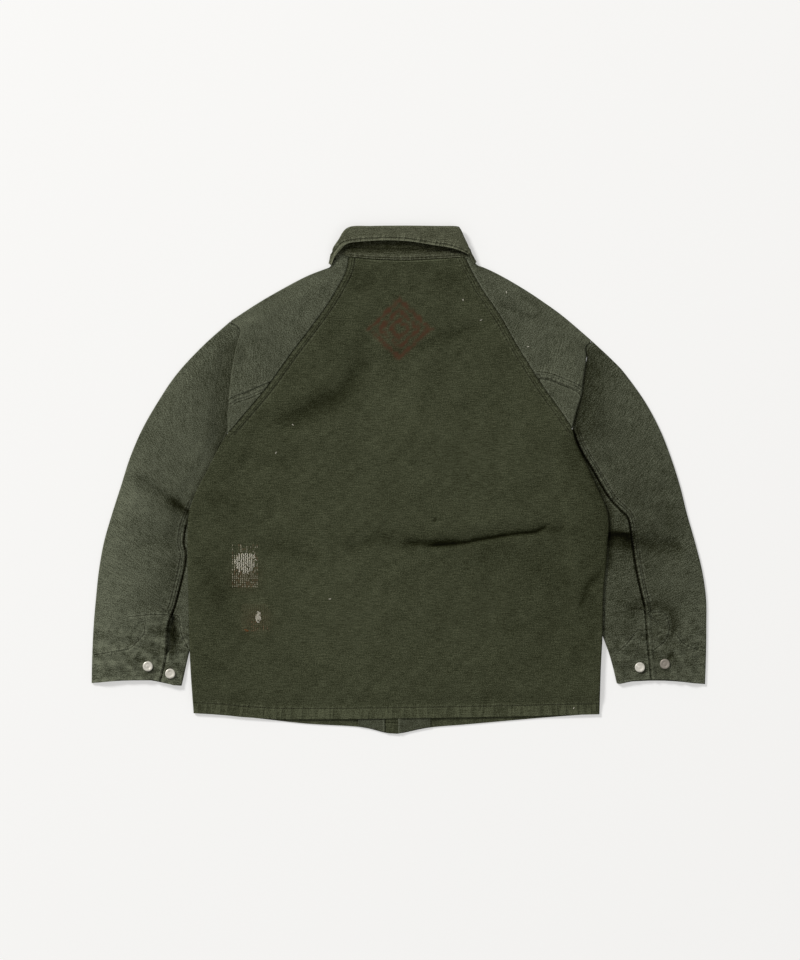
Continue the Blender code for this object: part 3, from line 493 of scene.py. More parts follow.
def shaded(shades, folds, x, y):
    """How dark the cloth is painted, from its broad shades and its folds: mostly painted light and shade,
    and the stains and mended spots. Below 0 it is lighter.
    """
    total = 0
    for cx, cy, wide, high, depth in shades:
        total = total + depth * bump(x - cx * MM, wide * MM) * bump(y - cy * MM, high * MM)
    return total + sum(fold.dark * fold.profile(x, y) for fold in folds if fold.dark)


def folded(folds, x, y):
    """How far the folds lift or lower the cloth."""
    raised = sum(-fold.depth * fold.profile(x, y) for fold in folds)
    return bpy.context.scene.jacket_sizes.fold_height * raised


def above_leaf(x, y):
    """1 where a piece lies on the collar leaf that is spread on the floor, and 0 away from it."""
    return soft_step((150 * MM - abs(x - 6 * MM)) / PRESSED) * soft_step((y - 206 * MM) / PRESSED)


def side_distance(x, y):
    """How far a point is inside the body's two side edges."""
    return np.minimum(x - LEFT.body_edge.x_at(y), RIGHT.body_edge.x_at(y) - x)


def front_edge_x(side, y):
    """The outer edge of a front: its raglan seam, then clear of the sleeve, then the body's side."""
    seam = side.front_raglan
    inner = side.inner_fold.x_at(y) - side.sign * 1 * MM
    body = side.body_edge.x_at(y) - side.sign * (BODY_EDGE + GAP)
    below = inner + (body - inner) * soft_step((seam.points[-1, 1] - 22 * MM - y) / (10 * MM))
    return np.where(y > seam.points[-1, 1], seam.x_at(y), below)


def front_under(side, x, y, margin=0):
    """The lower face of a front: on the floor, and up over the sleeve that runs in under its side."""
    end = side.front_raglan.points[-1, 1]
    reach = side.sign * (x - side.inner_fold.x_at(y)) + 27 * MM + margin
    rise = soft_step((end + margin - y) / (20 * MM)) * soft_step((y + 342 * MM) / (30 * MM))
    return OVER_SLEEVE * rise * soft_step(reach / (14 * MM)) + LEAF_LIFT * above_leaf(x, y)


def crumple(x, y, seed):
    """What worn canvas never loses: broad swells, soft wrinkles and a slight pebbling."""
    broad = 0.35 * ripple(x, y, 110 * MM, seed)
    wrinkles = 0.10 * ripple(x, y, 40 * MM, seed + 1) + 0.03 * ripple(x, y, 16 * MM, seed + 2)
    return MM * (broad + wrinkles)


def felled(across, ridge=0.55):
    """The section of a felled seam from its edge: groove, raised allowance, second row of stitches."""
    raised = ridge * (1 - soft_step((across - 7 * MM) / (3 * MM)))
    return MM * (raised - 1.0 * bump(across, GROOVE) - 0.7 * bump(across - FELL, 1.5 * MM))


def body_top(x, y):
    """The upper face of the back, and of what is sewn level with it."""
    beside_sleeve = soft_step((130 * MM - y) / (60 * MM)) * soft_step((y + 350 * MM) / (30 * MM))
    inside = side_distance(x, y)
    neck = NECK_RISE * soft_step((y - 190 * MM) / (60 * MM))
    beside_facings = soft_step((abs(x + 7 * MM) - 60 * MM) / (25 * MM))
    hem = (2.4 + 1.3 * beside_facings) * MM * soft_step((-315 * MM - y) / (35 * MM))
    free = soft_step(inside / (18 * MM)) * soft_step((y + 352 * MM) / (25 * MM))
    loose = folded(BACK_FOLDS + SHOULDER_FOLDS, x, y) + crumple(x, y, 4) * free
    side_rise = 1.1 * MM * beside_sleeve * (1 - soft_step(inside / (70 * MM)))
    least = np.where(x < 0, front_under(LEFT, x, y, 12 * MM), front_under(RIGHT, x, y, 12 * MM))
    return np.maximum(BODY_TOP + neck - hem + side_rise + loose, least + 2 * WALL + 1.5 * GAP)


def lap(x):
    """What the right front gains where it lies on the left one, at the middle."""
    return (WALL + GAP) * np.clip((LAP_END - x) / (LAP_END + 3 * MM), 0, 1)


def cover_line(side, y):
    """The edge that lies over the sleeve: the shoulder's fold, and below it the side of the body."""
    above = y > side.shoulder_fold.points[-1, 1]
    fold = np.where(above, side.shoulder_fold.x_at(y), side.head_fold.x_at(y))
    return np.where(y > side.body_edge.points[0, 1], fold, side.body_edge.x_at(y))


def arm_top(side, x, y, from_outline):
    """The upper face of a sleeve below the shoulder: pressed flat at its edge and under the body."""
    clear = side.sign * (x - cover_line(side, y)) - 2 * MM
    loft = SLEEVE_LOFT * soft_step(from_outline / SOFT) * soft_step(clear / SOFT)
    free = soft_step(from_outline / SOFT) * soft_step(clear / (14 * MM))
    loose = folded(ARM_FOLDS, x, y) + 1.1 * crumple(x, y, 20 + side.sign)
    return np.maximum(FLAT_EDGE + loft + free * loose, FLAT_EDGE)


class Socket:
    """One output of a material's nodes. A sum or product of it adds the nodes that work it out."""

    def __init__(self, tree, output=None):
        self.tree, self.output = tree, output

    def node(self, kind, settings=None, sockets=None, output=0):
        """Adds a node, with its settings first and then its sockets' values or links. Gives one output."""
        made = self.tree.nodes.new(kind)
        for name, value in (settings or {}).items():
            setattr(made, name, value)
        for name, value in (sockets or {}).items():
            if isinstance(value, Socket):
                self.tree.links.new(value.output, made.inputs[name])
            else:
                made.inputs[name].default_value = value
        return Socket(self.tree, made.outputs[output])

    def maths(self, operation, *values):
        """One Math node."""
        return self.node("ShaderNodeMath", {"operation": operation}, dict(enumerate(values)))

    def __add__(self, other):
        return self.maths("ADD", self, other)

    __radd__ = __add__

    def __sub__(self, other):
        return self.maths("SUBTRACT", self, other)

    def __rsub__(self, other):
        return self.maths("SUBTRACT", other, self)

    def __mul__(self, other):
        return self.maths("MULTIPLY", self, other)

    __rmul__ = __mul__

    def within(self, low, high, smooth=True):
        """0 below low and 1 above high, in between even or with soft ends."""
        kind = {"interpolation_type": "SMOOTHSTEP" if smooth else "LINEAR", "clamp": True}
        return self.node("ShaderNodeMapRange", kind, {0: self, 1: low, 2: high})

    def split(self, kind="ShaderNodeSeparateXYZ"):
        """The three parts of a vector or a colour."""
        return [self.node(kind, sockets={0: self}, output=k) for k in range(3)]

    def vector(self, x, y, z=0.0):
        """A vector of three parts."""
        return self.node("ShaderNodeCombineXYZ", sockets={0: x, 1: y, 2: z})

    def noise(self, where, scale, detail=2.0, roughness=0.5):
        """Uneven grain from 0 to 1 about a half."""
        sockets = {"Vector": where, "Scale": scale, "Detail": detail, "Roughness": roughness}
        return self.node("ShaderNodeTexNoise", {}, sockets)

    def attribute(self, name, output):
        """What a mesh says of each of its points."""
        return self.node("ShaderNodeAttribute", {"attribute_name": name}, output=output)

    def mixed(self, share, one, two):
        """One colour into another by a share."""
        return self.node("ShaderNodeMix", {"data_type": "RGBA"}, {0: share, 6: one, 7: two}, 2)


def new_material(name, roughness, specular=0.35, metallic=0.0):
    """A material, the start of its nodes and its shader."""
    material = bpy.data.materials.new(name)
    material.use_nodes = True
    shader = material.node_tree.nodes["Principled BSDF"]
    shader.inputs["Roughness"].default_value = roughness
    shader.inputs["Specular IOR Level"].default_value = specular
    shader.inputs["Metallic"].default_value = metallic
    return material, Socket(material.node_tree), shader


def link(socket, shader, name):
    """Feeds a shader's socket."""
    socket.tree.links.new(socket.output, shader.inputs[name])


def bumped(height, shader, strength, distance):
    """Gives a shader the relief of a height."""
    sockets = {"Strength": strength, "Distance": distance, "Height": height}
    link(height.node("ShaderNodeBump", {}, sockets), shader, "Normal")


def scaled(shade, *shares):
    """A colour made darker or paler, part by part, with full alpha."""
    return (*(c * share for c, share in zip(shade, shares)), 1)


def canvas(name, shade, slub, pucker=1.0, groove=0.9):
    """Heavy plain-woven cotton: yarns that swell and thin, blotches, drawn up beside its seams, and lighter
    and darker where its tone paints light and shade. groove is how far the painted shadow of a sewn edge
    reaches, in millimetres."""
    material, start, shader = new_material(name, 0.92, 0.02)
    yarn = bpy.context.scene.jacket_sizes.yarn
    u, v, _ = start.node("ShaderNodeUVMap", {"uv_map": "UVMap"}).split()
    warp = start.noise(start.vector(u, v * 0.15), 0.62 / yarn, 1.5, 0.6)
    weft = start.noise(start.vector(u * 0.12, v), 0.62 / yarn, 1.5, 0.6)
    grain = start.noise(start.vector(u, v), 0.85 / yarn, 1.0, 0.7)
    turn = 2 * math.pi / yarn
    woven = start.maths("SINE", u * turn) * start.maths("SINE", v * turn)
    blotch = start.noise(start.vector(u * 0.75, v), 60.0, 3.0, 0.65)
    tone = start.attribute("tone", "Color")
    # light and dark are painted light and shade from the broad shades and folds, with some random mottling.
    light, dark, rust = tone.split("ShaderNodeSeparateColor")
    gathered = start.attribute("tone", "Alpha")
    across, along, edge = start.attribute("seam", "Vector").split()
    drawn = start.noise(start.vector(along * 0.17, across * 0.03), 1.0, 1.0)
    off = start.maths("ABSOLUTE", across)
    ridge = drawn.within(0.42, 0.64) * start.maths("MAXIMUM", 1 - off.within(0.5, 6.0), gathered)
    row = 1 - off.within(0.2, 1.1)
    lips = off.within(0.9, 1.4) * (1 - off.within(1.9, 3.0))
    # The next lines paint the shadow in a sewn edge's groove and a thin highlight beside it.
    shut = 1 - edge.within(0.1, groove)
    painted_edge_highlight = edge.within(groove, groove + 0.8) * (1 - edge.within(groove + 1.2, groove + 2.6))
    painted_edge_highlight = painted_edge_highlight * drawn.within(0.3, 0.6)
    yarns = warp * 0.34 + weft * 0.66
    speckle = (yarns - 0.5) * (1.9 * slub) + (grain - 0.5) * (3.9 * slub)
    # Painted highlights on pucker crests (partly wear) and by rows; painted shade in rows and grooves.
    sewn = ridge * (0.34 * pucker) + painted_edge_highlight * 0.46 + lips * 0.14 - row * 0.66 - shut
    fade = (blotch - 0.5) * (0.30 * slub) + speckle + light + sewn - dark
    # pale and deep are lit and shaded copies of the canvas, for painted light and shade and the mottling.
    pale = tuple(min(1, c * 2.3 + 0.012) for c in shade[:3]) + (1,)
    deep = scaled(shade, 0.21, 0.21, 0.10)
    lighter = start.mixed(fade.within(0.0, 1.0, False), (*shade[:3], 1), pale)
    both = start.mixed((fade * -1).within(0.0, 1.0, False), lighter, deep)
    # Past a shade of 1 the canvas is painted nearly black, as deep shadow.
    both = start.mixed((fade * -1).within(1.0, 2.0, False), both, (0.003, 0.003, 0.0015, 1))
    faded = bpy.context.scene.jacket_colours.rust
    link(start.mixed(rust, both, (*faded, 1)), shader, "Base Color")
    link((yarns * 0.3 + 0.78).within(0.0, 1.0, False), shader, "Roughness")
    relief = yarns * 0.26 + grain * 0.10 + woven * 0.08 + ridge * (0.8 * pucker) - row * (0.5 * pucker)
    bumped(relief, shader, 1.0, MM)
    return material


def thread_material(name, shade):
    """Twisted cotton thread."""
    material, start, shader = new_material(name, 0.85, 0.2)
    place = start.node("ShaderNodeTexCoord", output="Object")
    twist = start.noise(place, 900.0, 1.0)
    patch = start.noise(place, 60.0, 2.0)
    share = (patch * 0.7 + twist * 0.5).within(0.35, 0.8)
    link(start.mixed(share, scaled(shade, 0.55, 0.55, 0.55), (*shade[:3], 1)), shader, "Base Color")
    bumped(twist, shader, 0.6, 0.3 * MM)
    return material


def metal_material(name, shade):
    """Plated metal with rubbed and tarnished places."""
    material, start, shader = new_material(name, 0.4, 0.5, 0.4)
    place = start.node("ShaderNodeTexCoord", output="Object")
    stain = start.noise(place, 140.0, 3.0, 0.6)
    fine = start.noise(place, 1500.0, 2.0)
    share = (stain * 0.8 + fine * 0.15).within(0.30, 0.58)
    link(start.mixed(share, scaled(shade, 0.62, 0.62, 0.62), (*shade[:3], 1)), shader, "Base Color")
    link(1 - share * 0.45 - 0.2, shader, "Roughness")
    bumped(fine, shader, 0.4, 0.2 * MM)
    return material


def nothing_selected():
    """Leaves edit mode and selects nothing."""
    if bpy.context.object and bpy.context.object.mode != "OBJECT":
        bpy.ops.object.mode_set(mode="OBJECT")
    bpy.ops.object.select_all(action="DESELECT")


def arc(points, axis):
    """Distance along the rows or columns of a grid of points."""
    gaps = np.linalg.norm(np.diff(points, axis=axis), axis=-1)
    start = np.zeros_like(gaps[:, :1] if axis else gaps[:1])
    return np.concatenate([start, np.cumsum(gaps, axis=axis)], axis=axis)


def write_attribute(mesh, name, kind, field, values):
    """Gives a mesh a value for each of its points."""
    attribute = mesh.attributes.new(name, kind, "POINT")
    attribute.data.foreach_set(field, values.astype(np.float32).ravel())


def cloth(name, points, flat, wall, material, faces_up, tone, seams, edges):
    """A grid of points becomes a cloth piece with a wall. flat says where each point was on the cut."""
    points, flat = np.asarray(points, float), np.asarray(flat, float)
    middle = len(points) // 2
    a, b, c = points[middle, 2], points[middle, 3], points[middle + 1, 2]
    up = np.cross(b - a, c - a)[2] > 0
    if up != faces_up:
        points, flat = points[:, ::-1], flat[:, ::-1]
        tone = tone[:, ::-1]
    rows, columns = points.shape[:2]
    nothing_selected()
    bpy.ops.mesh.primitive_grid_add(x_subdivisions=columns - 1, y_subdivisions=rows - 1, size=1)
    piece = bpy.context.object
    piece.name = piece.data.name = name
    mesh = piece.data
    start = np.zeros(len(mesh.vertices) * 3)
    mesh.vertices.foreach_get("co", start)
    start = start.reshape(-1, 3).round(6)
    order = np.lexsort((start[:, 0], start[:, 1]))
    placed = np.zeros_like(start)
    placed[order] = points.reshape(-1, 3)
    mesh.vertices.foreach_set("co", placed.ravel())
    cut = np.zeros((len(start), 2))
    cut[order] = flat.reshape(-1, 2)
    corners = np.zeros(len(mesh.loops), int)
    mesh.loops.foreach_get("vertex_index", corners)
    mesh.uv_layers[0].name = "UVMap"
    mesh.uv_layers[0].uv.foreach_set("vector", cut[corners].astype(np.float32).ravel())
    shades = np.zeros((len(start), 4))
    shades[order] = tone.reshape(-1, 4)
    sewn = nearest_seam(seams, edges, placed[:, 0], placed[:, 1])
    write_attribute(mesh, "tone", "FLOAT_COLOR", "color", shades)
    write_attribute(mesh, "seam", "FLOAT_VECTOR", "vector", sewn)
    mesh.materials.clear()
    mesh.materials.append(material)
    mesh.update()
    solid = piece.modifiers.new("wall", "SOLIDIFY")
    solid.thickness = wall
    solid.offset = -1
    solid.use_quality_normals = True
    bpy.ops.object.modifier_apply(modifier="wall")
    bpy.ops.object.shade_smooth_by_angle(angle=math.radians(55))
    return piece


def nearest_seam(seams, edges, x, y):
    """How far each point is from the nearest row of stitches, how far along it, and how far from a sewn
    edge, in millimetres."""
    across, along, shut = np.full(x.shape, FAR), np.zeros(x.shape), np.full(x.shape, FAR)
    for number, seam in enumerate(seams):
        off, reach = seam.near(x, y, 18 * MM)
        closer = np.abs(off) < np.abs(across)
        across = np.where(closer, off, across)
        along = np.where(closer, reach + number * 0.7, along)
    for edge in edges:
        shut = np.minimum(shut, np.abs(edge.near(x, y, 16 * MM)[0]))
    return np.stack([across, along, shut], -1) / MM


def painted_shade_and_tone(points, shades=(), folds=(), seed=0, extra=0, rust=0, gathered=0):
    """How much lighter and darker each point of a piece is painted, mostly painted light and shade with
    random mottling, and how rusty and how gathered it is.
    """
    x, y = points[..., 0], points[..., 1]
    dark = shaded(shades, folds, x, y) + extra
    dark = dark + 0.035 * ripple(x, y, 70 * MM, seed + 40) + 0.03 * ripple(x, y, 24 * MM, seed + 41)
    full = np.ones_like(dark)
    return np.stack([np.clip(-dark, 0, 1), np.clip(dark, 0, 2.5), rust * full, gathered * full], -1)


def area_of(points):
    """The area of a grid of points, in square metres."""
    a, b, c, d = points[:-1, :-1], points[:-1, 1:], points[1:, :-1], points[1:, 1:]
    halves = np.cross(b - a, c - a), np.cross(b - d, c - d)
    return float(sum(np.linalg.norm(h, axis=-1).sum() for h in halves) / 2)


def flat_size(points):
    """The rectangle that a piece was cut from, and the area of the cut."""
    points = np.asarray(points, float)
    area = area_of(points)
    wide, high = arc(points, 1)[:, -1].max(), arc(points, 0)[-1].max()
    if area > 0.98 * wide * high:
        wide = area / (0.98 * high)
    return (float(wide), float(high)), max(area, 0.32 * wide * high)


def cut_of(points):
    """Where each point of a wrapped piece was on its flat cut. A row of points lies along one yarn."""
    across = arc(points, 1)
    down = arc(points, 0).mean(1, keepdims=True)
    return np.stack([across, down + np.zeros_like(across)], -1)


def lay(
    name, node, points, flat, material, tone, seams=(), edges=(), wall=WALL, faces_up=True
):
    """Makes a cloth piece and sets it in its place in the frame."""
    piece = cloth(name, points, flat, wall, material, faces_up, tone, seams, edges)
    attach(piece, "root")
    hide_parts(node)
    size, area = flat_size(points)


CLOSE = np.array([0, 0.5, 1, 1.6, 2.3, 3.1, 4, 5, 6.2, 7.3, 8.2, 9, 9.8, 10.7, 12, 13.8, 16, 18.5]) * MM


def spaced(length, step, sewn_end=True):
    """Shares along a length: even, and closer together beside a sewn end."""
    near, far = CLOSE, length - CLOSE[::-1] if sewn_end else np.array([length])
    count = max(2, int((far[0] - near[-1]) / step))
    return np.concatenate([near, np.linspace(near[-1], far[0], count + 1)[1:-1], far]) / length


# Rows of stitches, and the lines that the canvas is drawn up along.
RAGLAN_ROWS = [LEFT.raglan.beside(FELL), RIGHT.raglan.beside(-FELL)]
RAGLAN_EDGES = [LEFT.raglan.beside(EDGE_ROW), RIGHT.raglan.beside(-EDGE_ROW)]
HEM_ROW = Line(BACK_HEM + (0, HEM_DEPTH))
SHOULDER_ROWS = [
    side.shoulder_seam.beside(place) for side in (LEFT, RIGHT) for place in SHOULDER_ROW_PLACES
]
ARM_ROWS = {
    -1: [LEFT.back_seam.part(0.3, 0.97).beside(-2 * MM), LEFT.back_seam.part(0.3, 0.72).beside(-FELL)],
    1: [RIGHT.back_seam.part(0.02, 0.97).beside(2 * MM), RIGHT.back_seam.part(0.02, 0.74).beside(FELL)],
}
CUFF_ROWS = {
    -1: [
        Line(mm((-457, -263), (-427, -258), (-405, -254), (-394, -245), (-382.5, -232), (-381, -221))),
        Line(mm((-404, -206), (-371, -202.5), (-347, -203))),
        Line(mm((-338, -202), (-329, -208), (-327, -228), (-317, -252))),
    ],
    1: [
        Line(mm((460, -259), (430, -248), (415, -232))),
        Line(mm(
            (368, -200), (384, -199), (397, -199.5), (404, -212), (405, -226), (399.5, -241), (383, -255)
        )),
        Line(mm((353, -232), (343, -245), (330, -257))),
    ],
}


def turned_under(edge, ahead):
    """The allowance of a seam: two points that run on from a sewn edge, under the piece beyond it."""
    ahead = np.array([*ahead, 0])
    step = np.asarray(edge) + ahead * ALLOWANCE_STEP - (0, 0, ALLOWANCE_DROP)
    return [tuple(step + ahead * ALLOWANCE - (0, 0, 0.2 * MM)), tuple(step)]


def back_points():
    """The back, row by row from the neck to the hem, turned down round the sides."""
    neck, hem = Line(NECK), Line(BACK_HEM)
    even = np.linspace(0, 1, 148)[1:-1]
    rows = []
    shares = spaced(0.69, 3.9 * MM)
    outside = shares[(shares < 0.565) | (shares > 0.637)]
    for t in np.sort(np.concatenate([outside, np.linspace(0.567, 0.635, 34)])):
        ends = []
        for side, column in ((LEFT, 0), (RIGHT, -1)):
            end_y = neck.points[column, 1] + (hem.points[column, 1] - neck.points[column, 1]) * t
            on_seam = end_y > side.body_edge.points[0, 1]
            edge = side.raglan if on_seam else side.body_edge
            drop = BODY_EDGE * soft_step((side.body_edge.points[0, 1] - end_y) / (30 * MM))
            ends.append((edge.x_at(end_y), drop))
        (left, drop_left), (right, drop_right) = ends
        middle = left + CLOSE[-1] + even * (right - left - 2 * CLOSE[-1])
        x = np.concatenate([left + CLOSE, middle, right - CLOSE[::-1]])
        share = (x - left) / (right - left)
        top = neck.y_at(neck.points[0, 0] + share * (neck.points[-1, 0] - neck.points[0, 0]))
        low = hem.y_at(hem.points[0, 0] + share * (hem.points[-1, 0] - hem.points[0, 0]))
        y = top + (low - top) * t
        z = body_top(x, y)
        for drop, off in ((drop_left, x - left), (drop_right, right - x)):
            inside = np.clip(1 - off / BODY_EDGE, 0, 1)
            z = z - drop * (1 - np.sqrt(1 - inside**2))
            z = z + (off < 40 * MM) * (drop == 0) * felled(off * 0.84)
        hem_step = soft_step((low + HEM_DEPTH + 2 * MM - y) / (2 * MM))
        z = z + HEM_RISE * hem_step - 0.5 * MM * bump(y - low - HEM_DEPTH, 1.5 * MM)
        z = z - 0.7 * MM * bump(top - y, 1.6 * MM)
        rows.append(np.stack([x, y, z], -1))
    under = [turned_under(point, (0, 1)) for point in rows[0]]
    return np.array([[far for far, _ in under], [near for _, near in under], *rows])


def shoulder_points(side):
    """The shoulder piece: from the raglan seam over the pressed top edge to the front raglan seam."""
    sewn = Line(np.vstack([side.raglan_to_seam.points, side.shoulder_seam.points[1:]]), steps=1)
    seam = sewn.beside(side.sign * SEAM)
    front_edge = side.front_raglan.beside(side.sign * SEAM)
    length = sewn.length
    rows = []
    end = [0.984, 0.988, 0.992, 0.9955, 0.998, 1]
    for t in [*spaced(length, 3.0 * MM, sewn_end=False)[:-6], *end]:
        outline, inner, front = side.shoulder_outline.at(t), seam.at(t), front_edge.at(t)
        low = LEAF_LIFT * above_leaf(*outline)
        edge = FLAT_EDGE + low
        inward = (inner - outline) / np.linalg.norm(inner - outline)
        flat = outline + inward * FLAT_EDGE / 2
        steps = 1 - np.concatenate([CLOSE / (60 * MM) * 0.4, np.linspace(0.14, 1, 34)])
        s = steps[:, None]
        across = s[:, 0]
        plan = flat + (inner - flat) * s
        plan = plan + side.shoulder_fold.bow(across) * soft_step((t - 0.45) / 0.55)
        plan = plan + side.neck_edge.bow(1 - across) * soft_step(1 - t / 0.09)
        from_outline = np.linalg.norm(plan - outline, axis=1)
        from_seam = np.linalg.norm(plan - inner, axis=1)
        z = edge + (body_top(plan[:, 0], plan[:, 1]) - edge) * soft_step(from_outline / PRESSED)
        drop = 1 - math.sqrt(max(0, 1 - max(0, (t - 0.984) / 0.016) ** 2))
        z = z - drop * BODY_EDGE * soft_step(across / 0.3)
        z = z - 1.0 * MM * bump(from_seam, GROOVE)
        base = flat + (front - flat) * np.linspace(0, 1, 8)[:, None]
        base_z = LEAF_LIFT * above_leaf(base[:, 0], base[:, 1])
        base_z[0] = low
        row = [(*p, h) for p, h in zip(plan, z)]
        row = turned_under(row[0], inward) + row
        row += rounded_edge(outline, inward, low, edge)
        row += [(*p, h) for p, h in zip(base, base_z)]
        clear = NECK_CLEARANCE * (t == 0)
        rows.append([(x + side.sign * clear / 2, y - clear, h) for x, y, h in row])
    first = np.array(rows[0])
    upper = soft_step((first[:, 2:] - FLAT_EDGE) / (1.2 * MM))
    near = first + upper * (0, ALLOWANCE_STEP, -ALLOWANCE_DROP) + (1 - upper) * (0, 0.05 * MM, 0)
    far = first + upper * (0, 3.6 * MM, -1.7 * MM) + (1 - upper) * (0, 0.1 * MM, 0)
    return np.array([far, near, *rows])


def rounded_edge(outline, inward, low, high):
    """Points round a pressed fold, from the upper face to the lower."""
    radius = (high - low) / 2
    turns = [math.radians(a) for a in (66, 42, 20, 0, -20, -42, -66)]
    return [
        (*(outline + inward * radius * (1 - math.cos(a))), low + radius * (1 + math.sin(a))) for a in turns
    ]


def head_points(side):
    """The corner of the arm piece that lies level with the back, between the two seams and the fold."""
    upper = side.shoulder_seam.beside(-side.sign * 0.1 * MM)
    lower = side.seam_to_underarm.beside(side.sign * SEAM)
    rows = []
    for t in [*np.linspace(0.06, 0.963, 26), 0.97, 0.977, 0.984, 0.989, 0.9945, 1]:
        above, below = upper.at(t), lower.at(t)
        s = np.linspace(1e-6, 1, 26)[:, None]
        plan = above + (below - above) * s + side.head_fold.bow(s[:, 0]) * t
        from_above = np.linalg.norm(plan - above, axis=1)
        from_below = np.linalg.norm(plan - below, axis=1)
        drop = 1 - math.sqrt(max(0, 1 - max(0, (t - 0.963) / 0.037) ** 2))
        z = body_top(plan[:, 0], plan[:, 1]) - drop * BODY_EDGE
        z = z - 0.9 * MM * bump(from_above, 1.4 * MM) - 0.9 * MM * bump(from_below, 1.4 * MM)
        row = [(*p, h) for p, h in zip(plan, z)]
        ahead = (below - above) / np.linalg.norm(below - above)
        rows.append(row + turned_under(row[-1], ahead)[::-1])
    return np.array(rows)


# How the rows of points are spread: down an arm, across it, and across what lies on the floor.
ARM_SHARES = np.concatenate([[0], np.linspace(0.02, 0.972, 186), [0.978, 0.984, 0.99, 0.995, 1]])
ACROSS_SHARES = np.concatenate([
    [0, 0.005, 0.01, 0.016, 0.024, 0.034, 0.046, 0.058, 0.07, 0.082, 0.095], np.linspace(0.11, 1, 38)
])
BASE_SHARES = np.array([0, 0.12, 0.25, 0.38, 0.5, 0.62, 0.72, 0.78, 0.82, 0.85, 0.88, 0.91, 0.94, 0.97, 1])


def slit_gap(side, y):
    """How far the two lips of the left cuff's opening stand apart. The right one is shut."""
    if side.sign > 0:
        return 0
    return 17 * MM * soft_step((-198 * MM - y) / (22 * MM)) * soft_step((y + 265 * MM) / (27 * MM))


def cuff_edge(x):
    """How far the worn edge of a cuff hangs below a straight one."""
    return np.interp(x / MM, *CUFF_WAVE) * MM


def cuff_relief(side, x, y):
    """The stitched facing inside a cuff, and the hollows that its press studs are set in."""
    worn = soft_step((-212 * MM - y) / (24 * MM))
    z = worn * MM * (0.40 * ripple(x, y, 22 * MM, 60) + 0.17 * ripple(x, y, 11 * MM, 61))
    z = z - 0.5 * worn * MM * bump(ripple(x, y, 34 * MM, 64), 0.16)
    for row in CUFF_ROWS[side.sign]:
        across, _ = row.near(x, y, 10 * MM)
        z = z - 0.55 * MM * bump(across, 1.7 * MM) + 0.4 * MM * bump(across + 4 * MM, 2.2 * MM)
    for cx, cy, _ in SNAPS[side.sign]:
        z = z - 0.9 * MM * bump(np.hypot(x - cx * MM, y - cy * MM), 12 * MM)
    return z


CUFF_WAVE = (
    (-460, -441, -421, -396, -371, -361, -353, -338, -328, 327, 331, 349, 378, 397, 421, 440, 459),
    (1.2, -0.4, -2.4, -3.2, -3.4, -1.4, 0.3, 3.4, 3.2, 0.6, 1.8, -2.0, -3.4, -3.2, -2.0, 0.6, 1.8),
)
SNAPS = {
    -1: [(-376.5, -280, "metal"), (-343, -291, "metal")],
    1: [(361, -281.5, "metal"), (398.5, -276.5, "worn")],
}


def arm_row(plan, heights, edge, inward, base, t):
    """One row of an arm piece: over its upper face, round its pressed edge and back on the floor."""
    row = [(*p, h) for p, h in zip(plan, heights)]
    row += rounded_edge(edge, inward, 0, FLAT_EDGE)
    row += [(*p, 0) for p in base]
    lowered = soft_step((t - CUFF_SHARE) / (1 - CUFF_SHARE))
    return [(x, y - lowered * cuff_edge(x), h) for x, y, h in row]


def upper_sleeve_points(side):
    """The arm from under the shoulder's fold to the cuff, round its pressed outer edge."""
    fold = Line(np.vstack([side.shoulder_fold.points, side.head_fold.points[1:]]), steps=1)
    front_edge = side.front_seam.beside(side.sign * SEAM)
    rows = []
    for t in ARM_SHARES:
        outline, seam, front = side.arm_outline.at(t), side.back_seam.at(t), front_edge.at(t)
        if t == 0:
            start = side.arm_outline.at(0.01) - outline
            outline = outline + start / np.linalg.norm(start) * 2 * SEAM
            front = front + (side.sign * 3 * SEAM, 0)
        inward = (seam - outline) / np.linalg.norm(seam - outline)
        across = 1 - ACROSS_SHARES
        s = across[:, None]
        flat = outline + inward * FLAT_EDGE / 2
        plan = flat + (seam - flat) * s
        plan = plan + fold.bow(across) * soft_step(1 - t / 0.22)
        tuck = TUCK * soft_step((across - 0.2) / 0.3) * soft_step((1 - across) / 0.15)
        plan[:, 0] -= side.sign * tuck * soft_step(1 - t / 0.1)
        x, y = plan[:, 0], plan[:, 1]
        from_seam = np.linalg.norm(plan - seam, axis=1)
        clear = soft_step((side.sign * (x - cover_line(side, y)) - 3 * MM) / (8 * MM))
        from_outline = np.linalg.norm(plan - outline, axis=1)
        z = arm_top(side, x, y, from_outline)
        cuff = soft_step(from_outline / (14 * MM)) * cuff_relief(side, x, y)
        z = z + clear * felled(from_seam, 0.45) + cuff
        z = np.maximum(z, FLAT_EDGE - 0.9 * MM)
        base = flat + (front - flat) * BASE_SHARES[:, None]
        rows.append(arm_row(plan, z, outline, inward, base, t))
    return np.array(rows)


